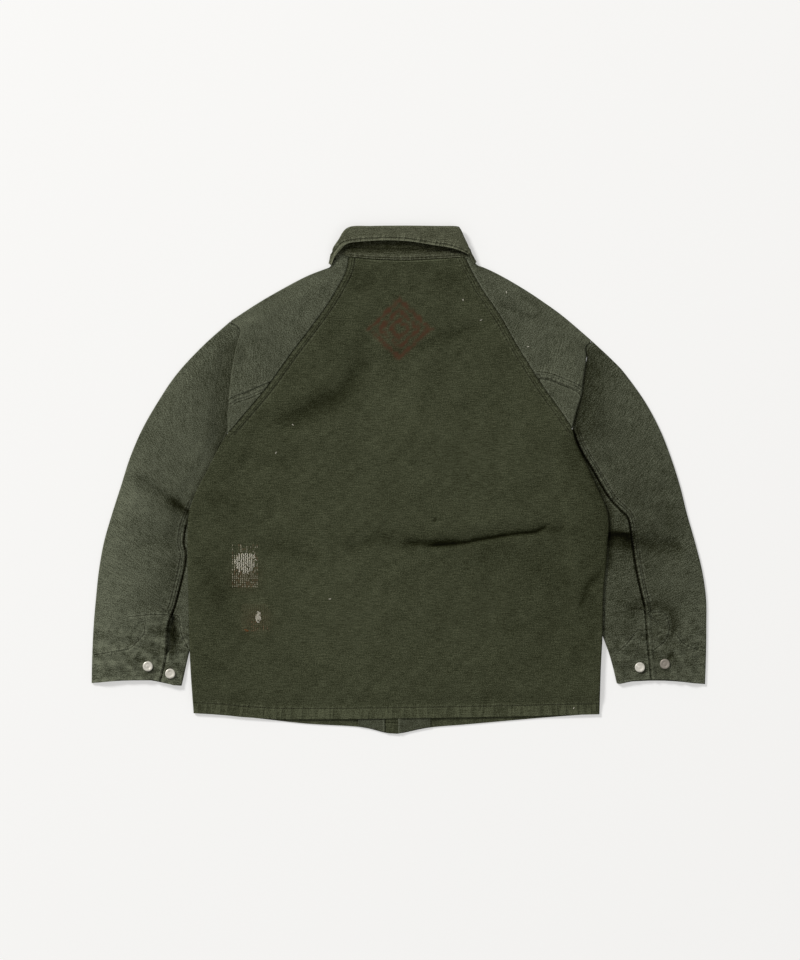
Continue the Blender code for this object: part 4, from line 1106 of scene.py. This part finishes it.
def under_sleeve_points(side):
    """The narrow piece of the arm, round its inner fold. Most of it runs in under the body."""
    sewn = side.back_seam.beside(-side.sign * SEAM)
    rows = []
    for t in ARM_SHARES[1:]:
        lines = (sewn, side.inner_fold, side.front_seam, side.arm_outline)
        lip, inner, front, outline = (line.at(t) for line in lines)
        lip = lip - (side.sign * slit_gap(side, lip[1]), 0)
        outward = (lip - inner) / np.linalg.norm(lip - inner)
        flat = inner + outward * FLAT_EDGE / 2
        across = np.concatenate([[0, 0.02, 0.04, 0.07, 0.1], np.linspace(0.14, 1, 16)])
        plan = lip + (flat - lip) * across[:, None]
        x, y = plan[:, 0], plan[:, 1]
        from_lip = np.linalg.norm(plan - lip, axis=1)
        clear = soft_step((side.sign * (x - cover_line(side, y)) - 3 * MM) / (8 * MM))
        z = arm_top(side, x, y, np.linalg.norm(plan - outline, axis=1))
        z = z - clear * 0.8 * MM * bump(from_lip, 1.4 * MM) + cuff_relief(side, x, y)
        z = np.maximum(z, FLAT_EDGE - 0.8 * MM)
        base = flat + (front - flat) * np.linspace(0, 1, 6)[:, None]
        rows.append(arm_row(plan, z, inner, outward, base, t))
    return np.array(rows)


def front_points(side, centre_edge):
    """A front lies on the floor, from its neck edge to its hem. The right one laps over the left."""
    hem, neck = Line(FRONT_HEM), Line(FRONT_NECK)
    end = 0 if side.sign < 0 else -1
    top_x, low_x = FRONT_NECK[end][0], FRONT_HEM[end][0]
    top, low = FRONT_NECK[end][1], FRONT_HEM[end][1]
    inner_edge = LAP_END if side.sign > 0 else centre_edge
    columns = np.concatenate([np.linspace(0, 0.2, 9)[:-1], np.linspace(0.2, 1, 52)])
    last = [-3 * MM, centre_edge] if side.sign > 0 else []
    under = side.front_raglan.points[-1, 1]
    heights = [*np.linspace(top, under + 4 * MM, 22), *np.linspace(under, under - 34 * MM, 7)]
    heights += [*np.linspace(under - 44 * MM, -318 * MM, 30), *np.linspace(-323 * MM, low, 8)]
    rows = []
    for outer_y in heights:
        t = (top - outer_y) / (top - low)
        outer_x = low_x if t == 1 else float(front_edge_x(side, outer_y))
        x = np.append(outer_x + (inner_edge - outer_x) * columns, last)
        over = np.append(top_x + (inner_edge - top_x) * columns, last)
        below = np.append(low_x + (inner_edge - low_x) * columns, last)
        y = neck.y_at(over) * (1 - t) + hem.y_at(below) * t
        z = front_under(side, x, y) + (lap(x) if side.sign > 0 else 0)
        rows.append(np.stack([x, y, z], -1))
    return np.array(rows), [(top - y) / (top - low) for y in heights]


def facing_points(side, outer_edge, inner_edge, shares):
    """The strip inside a front's centre edge. It shows only where the front hangs below the back hem."""
    hem, neck = Line(FRONT_HEM), Line(FRONT_NECK)
    x = np.linspace(outer_edge, inner_edge, 14)
    rows = []
    for t in shares:
        y = neck.y_at(x) * (1 - t) + hem.y_at(x) * t
        y = y - 6 * MM * (t == 0) + 1 * MM * (t == 1)
        z = front_under(side, x, y) + WALL + 2 * GAP + FACING_WALL + (lap(x) if side.sign > 0 else 0)
        rows.append(np.stack([x, y, z], -1))
    return np.array(rows)


def collar_section(seam, fold, leaf, normal, inner_height, gap):
    """The outer face of a hairpin: up the stand, round the fold and back along the leaf."""
    along = np.append(fold - seam, 0)
    length = np.linalg.norm(along)
    along = along / length
    radius = WALL + gap / 2
    straight = length - radius
    fall = np.linalg.norm(fold - leaf) - radius
    outer = [(straight * s, 0) for s in np.linspace(0, 1, 14)[:-1]]
    for angle in range(-90, 91, 15):
        a = math.radians(angle)
        outer.append((straight + radius * math.cos(a), radius + radius * math.sin(a)))
    outer += [(straight - fall * s, 2 * radius) for s in np.linspace(0, 1, 14)[1:]]
    return np.array([*seam, inner_height]) + np.array([along * a + np.array(normal) * b for a, b in outer])


def collar_points():
    """One band, sewn to the neck, folded along its middle and wrapped round both ends to the front."""
    neck_line = np.vstack([LEFT.neck_edge.points[::-1], Line(NECK).points[1:], RIGHT.neck_edge.points[1:]])
    back_neck, front_neck = Line(neck_line, steps=1).beside(SEAM), Line(FRONT_NECK).beside(2 * SEAM)
    fold, leaf = Line(COLLAR_FOLD), Line(COLLAR_LEAF)
    middle = LEAF_LIFT + FLAT_EDGE / 2
    pinched = FLAT_EDGE / 2 - WALL

    def front_half(side, centre):
        """Sections along the front of the neck, from its end to the middle."""
        found = []
        end = front_neck.points[0 if side.sign < 0 else -1, 0]
        for share in np.linspace(0, 1, 20):
            x = end + (centre - end) * share**1.5
            seam = np.array([x, front_neck.y_at(x)])
            lean = side.collar_lean * (1 - soft_step(share * 2.5))
            top = seam + (STAND + 13 * share * MM) * np.array([-side.sign * math.sin(lean), math.cos(lean)])
            edge = top - (0, STAND + 41 * soft_step(share * 1.8) * MM)
            found.append(collar_section(seam, top, edge, (0, 0, -1), middle - pinched, GAP))
        return found

    def turn(side, t):
        """Sections round one end of the neck, from the back to the front."""
        found = []
        lean = side.collar_lean
        upwards = np.array([-side.sign * math.sin(lean), math.cos(lean)])
        for angle in range(75, -91, -15):
            a = math.radians(angle)
            outwards = math.cos(a)
            normal = (side.sign * math.cos(lean) * outwards, math.sin(lean) * outwards, math.sin(a))
            seam = back_neck.at(t) + (side.sign * pinched * math.cos(a), END_CLEARANCE)
            top, edge = seam + STAND * upwards, seam + 1 * MM * upwards
            gap = GAP + NECK_RISE * (angle + 90) / 180
            found.append(collar_section(seam, top, edge, normal, middle + pinched * math.sin(a), gap))
        return found

    sections = front_half(LEFT, -14.5 * MM)[::-1] + turn(LEFT, 0)[::-1]
    for turned in np.linspace(0, math.pi, 130):
        t = (1 - math.cos(turned)) / 2
        raised = soft_step(min(t, 1 - t) / 0.11)
        height = middle + pinched + (BODY_TOP + NECK_RISE - WALL - middle - pinched) * raised
        gap = GAP + NECK_RISE + 4.6 * MM * math.sin(math.pi * t) ** 0.5
        seam = back_neck.at(t) + (0, END_CLEARANCE * (1 - soft_step(min(t, 1 - t) / 0.1)))
        section = collar_section(seam, fold.at(t), leaf.at(t), (0, 0, 1), height, gap)
        leafy = np.linspace(0, 1, len(section)) > 0.55
        lift = raised * (0.5 * ripple(section[:, 0], section[:, 1], 40 * MM, 70) + 0.2)
        section[:, 2] += MM * lift * leafy
        sections.append(section)
    return np.array(sections + turn(RIGHT, 1) + front_half(RIGHT, -9 * MM))


def lozenge_wear(x, y):
    """Nested lozenges rubbed into the middle of the back, the hishi figure of old mended work clothes."""
    u, v = np.abs(x - MARK[0]) / MARK_HALF[0], np.abs(y - MARK[1]) / MARK_HALF[1]
    reach = u + v
    uneven = 0.03 * ripple(x, y, 14 * MM, 90)
    rings = sum(bump(reach - ring + uneven, 0.085) for ring in (0.30, 0.64, 0.98))
    return np.clip(rings * (0.95 + 0.2 * ripple(x, y, 20 * MM, 91)), 0, 1) * (reach < 1.3)


class JACKET_OT_back(bpy.types.Operator):
    """Lays the back: one piece from the neck to the hem"""

    bl_idname = "jacket.back"
    bl_label = "Back"

    def execute(self, context):
        colours = context.scene.jacket_colours
        points = back_points()
        x, y = points[..., 0], points[..., 1]
        rusty = np.maximum(lozenge_wear(x, y), shaded(MENDED, (), x, y))
        hem = Line(BACK_HEM).y_at(x) + HEM_DEPTH
        in_hem = soft_step((hem - y) / (1.5 * MM))
        tone = painted_shade_and_tone(points, BACK_SHADES + STAINS, BACK_FOLDS, 1, 0, rusty, in_hem)
        seams = [*RAGLAN_ROWS, *RAGLAN_EDGES, HEM_ROW]
        edges = [LEFT.raglan, RIGHT.raglan, Line(NECK)]
        material = canvas("back_canvas", colours.body, 1.18)
        lay(
            "back", "back_panel", points, points[..., :2],
            material, tone, seams, edges
        )
        return {"FINISHED"}


class JACKET_OT_fronts(bpy.types.Operator):
    """Lays the two fronts on the floor, with the facings inside their centre edges"""

    bl_idname = "jacket.fronts"
    bl_label = "Fronts and facings"

    def execute(self, context):
        colours = context.scene.jacket_colours
        outside = canvas("front_canvas", colours.body, 1.0, 0.8)
        inside = canvas("facing_canvas", colours.sleeve, 1.0)
        strips = {-1: (-61 * MM, -22 * MM), 1: (-1 * MM, 47 * MM)}
        for side, centre_edge in ((LEFT, LEFT_CENTRE_EDGE), (RIGHT, RIGHT_CENTRE_EDGE)):
            points, shares = front_points(side, centre_edge)
            hem = Line(FRONT_HEM)
            in_hem = soft_step((hem.y_at(points[..., 0]) + HEM_DEPTH - points[..., 1]) / (1.5 * MM))
            tone = painted_shade_and_tone(points, seed=5, gathered=in_hem)
            rows = [Line(hem.points + (0, HEM_DEPTH), steps=1)]
            front = "front_" + side.name
            lay(
                "front_of_" + side.name, front, points, points[..., :2], outside, tone,
                rows, faces_up=False
            )
            strip = facing_points(side, *strips[side.sign], shares)
            centre = strips[side.sign][side.sign < 0]
            shade = 0.40 - 0.8 * bump(strip[..., 0] - centre, 1.6 * MM)
            tone = painted_shade_and_tone(strip, extra=shade, gathered=0.6)
            lay(
                "facing_of_" + side.name, "facing_" + side.name, strip,
                strip[..., :2], inside, tone, wall=FACING_WALL
            )
        return {"FINISHED"}


class JACKET_OT_shoulders(bpy.types.Operator):
    """Lays the shoulder pieces and the sleeve heads beside the back"""

    bl_idname = "jacket.shoulders"
    bl_label = "Shoulders and sleeve heads"

    def execute(self, context):
        colours = context.scene.jacket_colours
        material = canvas("shoulder_canvas", colours.sleeve, 1.42)
        for side in (LEFT, RIGHT):
            shoulder, head = shoulder_points(side), head_points(side)
            edges = [side.raglan, side.shoulder_seam]
            for name, node, points, folds, seed in (
                ("shoulder_of_", "shoulder_", shoulder, SHOULDER_FOLDS, 11),
                ("head_of_", "sleeve_head_", head, (), 0),
            ):
                tone = painted_shade_and_tone(points, SHOULDER_SHADES, folds, seed)
                lay(
                    name + side.name, node + side.name, points,
                    cut_of(points), material, tone, SHOULDER_ROWS, edges
                )
        return {"FINISHED"}


def cuff_painted_light_and_wear(points):
    """Painted shade in a cuff's creases, painted light on its crumples and stitched rows, and its rubbed
    pale lower edge, as shades.
    """
    x, y = points[..., 0], points[..., 1]
    # worn is the crumpled part of the cuff, where light and shade are painted.
    worn = soft_step((-205 * MM - y) / (24 * MM))
    wrinkled = 0.15 * ripple(x, y, 22 * MM, 62) + 0.12 * ripple(x, y, 10 * MM, 63)
    creased = bump(ripple(x, y, 34 * MM, 64), 0.14) - bump(ripple(x, y, 30 * MM, 65), 0.14)
    worn = worn * np.where(x > 0, 0.6, 1)
    rubbed = 0.5 + 0.5 * ripple(x, y, 12 * MM, 66)
    pale = 0.55 * bump(y + cuff_edge(x) + 302 * MM, 2.2 * MM)
    # The stitched rows get a painted highlight, as on puffed ridges.
    for row in CUFF_ROWS[-1 if x.mean() < 0 else 1]:
        across, _ = row.near(x, y, 10 * MM)
        pale = pale + np.where(x > 0, 0.35, 0.75) * bump(across, 1.9 * MM)
    return worn * (1.25 * wrinkled + 0.18 * creased) - pale * np.clip(rubbed, 0.15, 1)


class JACKET_OT_sleeves(bpy.types.Operator):
    """Lays both arms: the upper piece round the outer edge and the narrow one round the inner fold"""

    bl_idname = "jacket.sleeves"
    bl_label = "Sleeves"

    def execute(self, context):
        colours = context.scene.jacket_colours
        material = canvas("sleeve_canvas", colours.sleeve, 1.48, 1.4, 1.7)
        for side, shades in ((LEFT, LEFT_SHADES), (RIGHT, RIGHT_SHADES)):
            seams = [*ARM_ROWS[side.sign], *CUFF_ROWS[side.sign]]
            upper, under = upper_sleeve_points(side), under_sleeve_points(side)
            for name, node, other, points, seed in (
                ("arm_of_", "upper_sleeve_", "under_sleeve_", upper, 17),
                ("under_arm_of_", "under_sleeve_", "upper_sleeve_", under, 19),
            ):
                tone = painted_shade_and_tone(points, shades, ARM_FOLDS, seed, cuff_painted_light_and_wear(points))
                lay(
                    name + side.name, node + side.name, points,
                    cut_of(points), material, tone, seams, [side.back_seam]
                )
        return {"FINISHED"}


class JACKET_OT_collar(bpy.types.Operator):
    """Folds the collar along its middle and round both ends of the neck"""

    bl_idname = "jacket.collar"
    bl_label = "Collar"

    def execute(self, context):
        colours = context.scene.jacket_colours
        points = collar_points()
        x, y = points[..., 0], points[..., 1]
        share = np.linspace(0, 1, points.shape[1])
        # Painted shadow on the stand, deepest just under the leaf's edge.
        stand = (share < 0.42) * (0.20 + 0.72 * soft_step((y - 336 * MM) / (10 * MM))) * (y > 318 * MM)
        leaf = Line(COLLAR_LEAF)
        off = leaf.near(x, y, 14 * MM)[0]
        # A painted highlight along the leaf's edge.
        painted_edge_highlight = (share > 0.55) * -0.9 * bump(off, 1.1 * MM)
        # Painted shade inside the rolled left end of the collar.
        painted_roll_shade = 0.5 * bump(x + 101 * MM, 6 * MM) * bump(y - 336 * MM, 13 * MM)
        tone = painted_shade_and_tone(points, seed=23, extra=stand + painted_edge_highlight + painted_roll_shade, gathered=0.7 * bump(off, 8 * MM))
        seams = [Line(COLLAR_LEAF[1:-1] + (0, COLLAR_ROW)), Line(NECK).beside(3 * MM)]
        material = canvas("collar_canvas", colours.collar, 1.3, 1.5)
        lay(
            "collar_band", "collar", points, cut_of(points)[..., ::-1],
            material, tone, seams, faces_up=False
        )
        return {"FINISHED"}


def tube(run, radius, sides=5):
    """Rings of points round a run of points, thinner at its two ends, and the faces between them."""
    run = np.asarray(run, float)
    ahead = np.gradient(run, axis=0)
    ahead /= np.linalg.norm(ahead, axis=1)[:, None]
    aside = np.cross(ahead, (0, 0, 1))
    aside /= np.linalg.norm(aside, axis=1)[:, None]
    above = np.cross(aside, ahead)
    turns = np.arange(sides) * 2 * math.pi / sides
    thick = np.full(len(run), radius)
    thick[[0, -1]] = radius * 0.55
    ring = aside[:, None] * np.cos(turns)[:, None] + above[:, None] * np.sin(turns)[:, None]
    points = (run[:, None] + ring * thick[:, None, None]).reshape(-1, 3)
    faces = []
    for k in range(len(run) - 1):
        for j in range(sides):
            a, b = k * sides + j, k * sides + (j + 1) % sides
            faces.append((a, b, b + sides, a + sides))
    faces.append(tuple(range(sides - 1, -1, -1)))
    faces.append(tuple(range(len(points) - sides, len(points))))
    return points, faces


def threads(name, runs, radius, material):
    """Many lengths of thread as one piece."""
    points, faces, count = [], [], 0
    for run in runs:
        more, sides = tube(run, radius)
        points.append(more)
        faces += [tuple(k + count for k in face) for face in sides]
        count += len(more)
    mesh = bpy.data.meshes.new(name)
    mesh.from_pydata(np.vstack(points).tolist(), [], faces)
    mesh.materials.append(material)
    mesh.shade_smooth()
    piece = bpy.data.objects.new(name, mesh)
    bpy.context.scene.collection.objects.link(piece)
    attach(piece, "root")


def height_on(names, x, y):
    """The height of the highest of some pieces at a place, found from above."""
    found = None
    for name in names:
        hit, where, _, _ = bpy.data.objects[name].ray_cast(Vector((x, y, 0.2)), Vector((0, 0, -1)))
        if hit and (found is None or where.z > found):
            found = where.z
    return found


def stitched(names, line, seed):
    """A row of stitches along a line, lying on some pieces. Each dips into the cloth at both ends."""
    sizes = bpy.context.scene.jacket_sizes
    pitch, reach = sizes.stitch_pitch, sizes.stitch
    rng = np.random.default_rng(seed)
    runs = []
    for start in np.arange(pitch, line.length - pitch, pitch):
        begin = start + rng.uniform(-0.1, 0.1) * pitch
        places = line.at(np.array([0, 0.3, 0.7, 1]) * reach / line.length + begin / line.length)
        places = places + rng.uniform(-0.12, 0.12, 2) * MM
        heights = [height_on(names, *place) for place in places]
        if None in heights or max(heights) - min(heights) > 1.5 * MM:
            continue
        lift = np.array([-0.37, 0.08, 0.08, -0.37]) * MM
        runs.append([(*place, h + up) for place, h, up in zip(places, heights, lift)])
    return runs


def dash(place, turn, length):
    """One darning stitch on the back, about a place and along a direction, in millimetres."""
    ahead = np.array([math.cos(turn), math.sin(turn)]) * length / 2
    run = []
    for share, lift in ((-1, -0.15), (-0.5, 0.32), (0.5, 0.32), (1, -0.15)):
        x, y = (np.array(place) + ahead * share) * MM
        run.append((x, y, height_on(["back"], x, y) + lift * MM))
    return run


class JACKET_OT_stitches(bpy.types.Operator):
    """Sews the visible rows of stitches along the seams, hems, cuffs and collar"""

    bl_idname = "jacket.stitches"
    bl_label = "Stitches"

    def execute(self, context):
        colours, sizes = context.scene.jacket_colours, context.scene.jacket_sizes
        material = thread_material("olive_thread", colours.thread)
        body = []
        for number, line in enumerate([*RAGLAN_ROWS, *RAGLAN_EDGES, HEM_ROW]):
            body += stitched(["back"], line, number)
        threads("body_stitches", body, sizes.thread, material)
        arms = []
        shoulders = ["shoulder_of_left", "shoulder_of_right"]
        for number, line in enumerate(SHOULDER_ROWS):
            arms += stitched(shoulders, line, 10 + number)
        for side in (LEFT, RIGHT):
            names = [f"arm_of_{side.name}", f"under_arm_of_{side.name}"]
            for number, line in enumerate([*ARM_ROWS[side.sign], *CUFF_ROWS[side.sign]]):
                arms += stitched(names, line, 20 + number)
        threads("sleeve_stitches", arms, sizes.thread, material)
        leaf_row = Line(COLLAR_LEAF[2:-2] + (0, COLLAR_ROW))
        collar_runs = stitched(["collar_band"], leaf_row, 40)
        threads("collar_stitches", collar_runs, sizes.thread, material)
        return {"FINISHED"}


def round_darn(rng, kept):
    """The round darn's slanting stitches, and the columns of stitches above and below it."""
    for column, x in enumerate(np.arange(-15.5, 16, 3.1)):
        odd = column % 2
        for y in np.arange(-17, 17.5, 2.15):
            limit = 15.8 + 0.9 * math.sin(3 * math.atan2(y, x)) + rng.uniform(-0.9, 0.6)
            if math.hypot(x, y) < limit and rng.random() < 0.93:
                turn = math.radians((42 if odd else -42) + rng.uniform(-26, 26))
                thread = kept["dim"] if rng.random() < 0.12 else kept["cream"]
                place = ROUND_DARN + (x + rng.uniform(-0.5, 0.5), y + 1.1 * odd)
                thread.append(dash(place, turn, 3.0))
    for x in np.arange(-249.3, -210.5, 3.05):
        for y in np.arange(-98.5, -163, -3.1):
            over = math.hypot(x - ROUND_DARN[0], y - ROUND_DARN[1]) < 15
            chance = 0.5 if y > -106 else 0.7 if y > ROUND_DARN[1] else 0.95
            if not over and rng.random() < chance:
                place = (x + rng.uniform(-0.35, 0.35), y + rng.uniform(-0.4, 0.4))
                thread = kept["pink"] if rng.random() < 0.28 else kept["dim"]
                thread = kept["brown"] if y > -112 and rng.random() < 0.45 else thread
                thread.append(dash(place, math.pi / 2 + rng.uniform(-0.12, 0.12), 2.2))


def square_darn(rng, kept):
    """The square of stitches round the small tear, its rusty corner and the threads in the tear."""
    for x in np.arange(-235, -193, 2.9):
        for y in np.arange(-190, -228, -3.0):
            if rng.random() < 0.72 and math.hypot((x - TEAR[0]) / 5, (y - TEAR[1]) / 9) > 1:
                thread = kept["pink"] if y < -212 and x > -224 and rng.random() < 0.35 else kept["brown"]
                thread.append(dash((x, y + rng.uniform(-0.5, 0.5)), math.pi / 2, 2.2))
    for x in np.arange(-233, -198, 3.6):
        kept["brown"].append(dash((x, -187.6 - 0.02 * (x + 214)), 0.02, 2.4))
    for x, y, turn in RUSTY:
        kept["orange"].append(dash((x, y), turn, 2.2))
    for number, y in enumerate(np.linspace(-198.5, -214, 11)):
        half = 3.7 * math.sqrt(max(0.03, 1 - ((y - TEAR[1]) / 8.2) ** 2))
        for x in np.arange(-half, half + 0.1, 1.7):
            if rng.random() < 0.8:
                thread = kept["dim"] if abs(x) > 2.4 and rng.random() < 0.5 else kept["tear"]
                thread.append(dash((TEAR[0] + x, y), math.pi / 2 + (0.5 if number % 2 else -0.5), 1.9))


def lint(rng):
    """Short threads that have fallen on the cloth."""
    runs = []
    for x, y in LINT:
        turn = rng.uniform(0, math.pi)
        reach = np.array([-1.6, -0.5, 0.6, 1.7]) * MM
        places = [(x * MM + r * math.cos(turn), y * MM + r * math.sin(turn)) for r in reach]
        heights = [height_on(["back", "shoulder_of_right", "front_of_right"], *p) for p in places]
        if None not in heights:
            runs.append([(*p, h + 0.3 * MM) for p, h in zip(places, heights)])
    return runs


RUSTY = ((-230.5, -225, 0.2), (-228, -225.6, -0.3), (-229, -227, 0.1), (-226.5, -226.8, 0.4))
LINT = (
    (161, 280.5), (193.5, 199), (96, 269), (123, 239), (-172.5, 178), (-159, 82), (-282, 37),
    (-184.5, 40), (-103.5, -179), (262, -342.8), (46, -363.5),
)


class JACKET_OT_darns(bpy.types.Operator):
    """Darns the two mended spots on the left of the back, and drops a few threads of lint"""

    bl_idname = "jacket.darns"
    bl_label = "Darns and lint"

    def execute(self, context):
        colours = context.scene.jacket_colours
        made = {
            name: thread_material(name + "_thread", getattr(colours, name))
            for name in ("cream", "dim", "pink", "brown", "orange")
        }
        rng = np.random.default_rng(3)
        kept = {name: [] for name in (*made, "tear")}
        round_darn(rng, kept)
        square_darn(rng, kept)
        for name, thread, radius, material in (
            ("round_darn", "cream", 0.43, "cream"),
            ("faded_stitches", "pink", 0.38, "pink"),
            ("square_darn", "brown", 0.40, "brown"),
            ("rust_spot", "orange", 0.5, "orange"),
            ("open_tear", "tear", 0.46, "cream"),
            ("darn_columns", "dim", 0.38, "dim"),
        ):
            threads(name, kept[thread], radius * MM, made[material])
        threads("lint", lint(rng), 0.5 * MM, made["cream"])
        return {"FINISHED"}


def revolved(name, profile, place, steps, material):
    """A profile turned about an upright axis at a place."""
    nothing_selected()
    bpy.ops.mesh.primitive_circle_add(vertices=len(profile), radius=1, location=(0, 0, 0))
    piece = bpy.context.object
    piece.name = piece.data.name = name
    mesh = piece.data
    mesh.clear_geometry()
    mesh.from_pydata([(r, 0, h) for r, h in profile], [(k, k + 1) for k in range(len(profile) - 1)], [])
    bpy.ops.object.mode_set(mode="EDIT")
    bpy.ops.mesh.select_all(action="SELECT")
    bpy.ops.mesh.spin(steps=steps, angle=2 * math.pi, center=(0, 0, 0), axis=(0, 0, 1))
    bpy.ops.mesh.select_all(action="SELECT")
    bpy.ops.mesh.remove_doubles(threshold=0.00002)
    bpy.ops.mesh.normals_make_consistent(inside=False)
    bpy.ops.transform.translate(value=place)
    bpy.ops.object.mode_set(mode="OBJECT")
    mesh.materials.append(material)
    bpy.ops.object.shade_smooth_by_angle(angle=math.radians(50))
    return piece


class JACKET_OT_snaps(bpy.types.Operator):
    """Sets the four press studs on the cuffs"""

    bl_idname = "jacket.snaps"
    bl_label = "Press studs"

    def execute(self, context):
        sizes, colours = context.scene.jacket_sizes, context.scene.jacket_colours
        shades = {"metal": colours.metal, "worn": colours.worn}
        materials = {name: metal_material("stud_" + name, shade) for name, shade in shades.items()}
        shape = [
            (0, 0.80), (0.20, 0.80), (0.30, 0.76), (0.36, 0.68), (0.42, 0.72), (0.55, 0.84), (0.70, 0.95),
            (0.80, 1.0), (0.88, 0.97), (0.95, 0.82), (0.99, 0.55), (1.0, 0.25), (0.97, 0.0), (0, 0.0),
        ]
        for side in (LEFT, RIGHT):
            outer, inner = ("outer", "inner") if side.sign < 0 else ("inner", "outer")
            for (x, y, kind), which in zip(SNAPS[side.sign], (outer, inner)):
                node = f"snap_{side.name}_{which}"
                low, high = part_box(node)
                names = [f"arm_of_{side.name}", f"under_arm_of_{side.name}"]
                found = height_on(names, x * MM, y * MM) or low.z
                profile = [(r * sizes.snap_radius, h * sizes.snap_height) for r, h in shape]
                place = ((low.x + high.x) / 2, (low.y + high.y) / 2, found + 0.1 * MM)
                piece = revolved(f"stud_{side.name}_{which}", profile, place, 48, materials[kind])
                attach(piece, "root")
                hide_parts(node)
        return {"FINISHED"}


class JACKET_OT_stage(bpy.types.Operator):
    """Sets a pale floor, soft studio light and a camera that looks straight down"""

    bl_idname = "jacket.stage"
    bl_label = "Stage"

    def execute(self, context):
        scene = context.scene
        nothing_selected()
        bpy.ops.mesh.primitive_plane_add(size=30, location=(0, 0, -0.1 * MM))
        floor = context.object
        floor.name = "floor"
        material, start, shader = new_material("floor_paint", 0.9, 0.1)
        tint = (*scene.jacket_colours.floor, 1)
        place = start.node("ShaderNodeTexCoord", output="Object")
        deeper = scaled(tint, 0.985, 0.985, 0.985)
        link(start.mixed(start.noise(place, 1.5), tint, deeper), shader, "Base Color")
        shader.inputs["Emission Color"].default_value = (1.0, 0.992, 0.975, 1)
        shader.inputs["Emission Strength"].default_value = 0.42
        floor.data.materials.append(material)
        self.light("key", (-10.8, 10.8, 9.6), 4.6, 2970)
        self.light("fill", (7.0, -5.0, 10.0), 6.0, 120)
        world = bpy.data.worlds.new("studio")
        world.use_nodes = True
        world.node_tree.nodes["Background"].inputs["Color"].default_value = (1, 1, 1, 1)
        world.node_tree.nodes["Background"].inputs["Strength"].default_value = 0.36
        scene.world = world
        scene.view_settings.view_transform = "Standard"
        view = bpy.data.cameras.new("camera")
        view.sensor_width = 36
        view.lens = view.sensor_width * scene.jacket_sizes.camera_height / VIEW_SIDE
        view.dof.use_dof = False
        view.clip_start, view.clip_end = 0.1, 100
        camera = bpy.data.objects.new("camera", view)
        camera.location = (*VIEW_CENTRE, scene.jacket_sizes.camera_height)
        scene.collection.objects.link(camera)
        scene.camera = camera
        return {"FINISHED"}

    def light(self, name, place, size, power):
        """A round soft light that shines at the jacket."""
        lamp = bpy.data.lights.new(name, "AREA")
        lamp.shape, lamp.size, lamp.energy = "DISK", size, power
        holder = bpy.data.objects.new(name, lamp)
        holder.location = place
        holder.rotation_euler = Vector(place).to_track_quat("Z", "Y").to_euler()
        bpy.context.scene.collection.objects.link(holder)


STEPS = ("stage", "back", "fronts", "shoulders", "sleeves", "collar", "stitches", "darns", "snaps")


class JACKET_PT_panel(bpy.types.Panel):
    """The jacket's sizes, colours and pieces"""

    bl_idname = "JACKET_PT_panel"
    bl_label = "Canvas jacket"
    bl_space_type = "VIEW_3D"
    bl_region_type = "UI"
    bl_category = "Jacket"

    def draw(self, context):
        for group in (context.scene.jacket_sizes, context.scene.jacket_colours):
            for name in group.bl_rna.properties.keys():
                if name not in ("rna_type", "name"):
                    self.layout.prop(group, name)
        for step in STEPS:
            self.layout.operator("jacket." + step)


CLASSES = (
    JacketSizes, JacketColours, JACKET_OT_stage, JACKET_OT_back, JACKET_OT_fronts, JACKET_OT_shoulders,
    JACKET_OT_sleeves, JACKET_OT_collar, JACKET_OT_stitches, JACKET_OT_darns, JACKET_OT_snaps,
    JACKET_PT_panel,
)


def register():
    for made in CLASSES:
        bpy.utils.register_class(made)
    bpy.types.Scene.jacket_sizes = bpy.props.PointerProperty(type=JacketSizes)
    bpy.types.Scene.jacket_colours = bpy.props.PointerProperty(type=JacketColours)


def unregister():
    del bpy.types.Scene.jacket_colours
    del bpy.types.Scene.jacket_sizes
    for made in reversed(CLASSES):
        bpy.utils.unregister_class(made)


def main():
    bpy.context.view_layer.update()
    register()
    for step in STEPS:
        getattr(bpy.ops.jacket, step)()


if __name__ == "__main__":
    main()
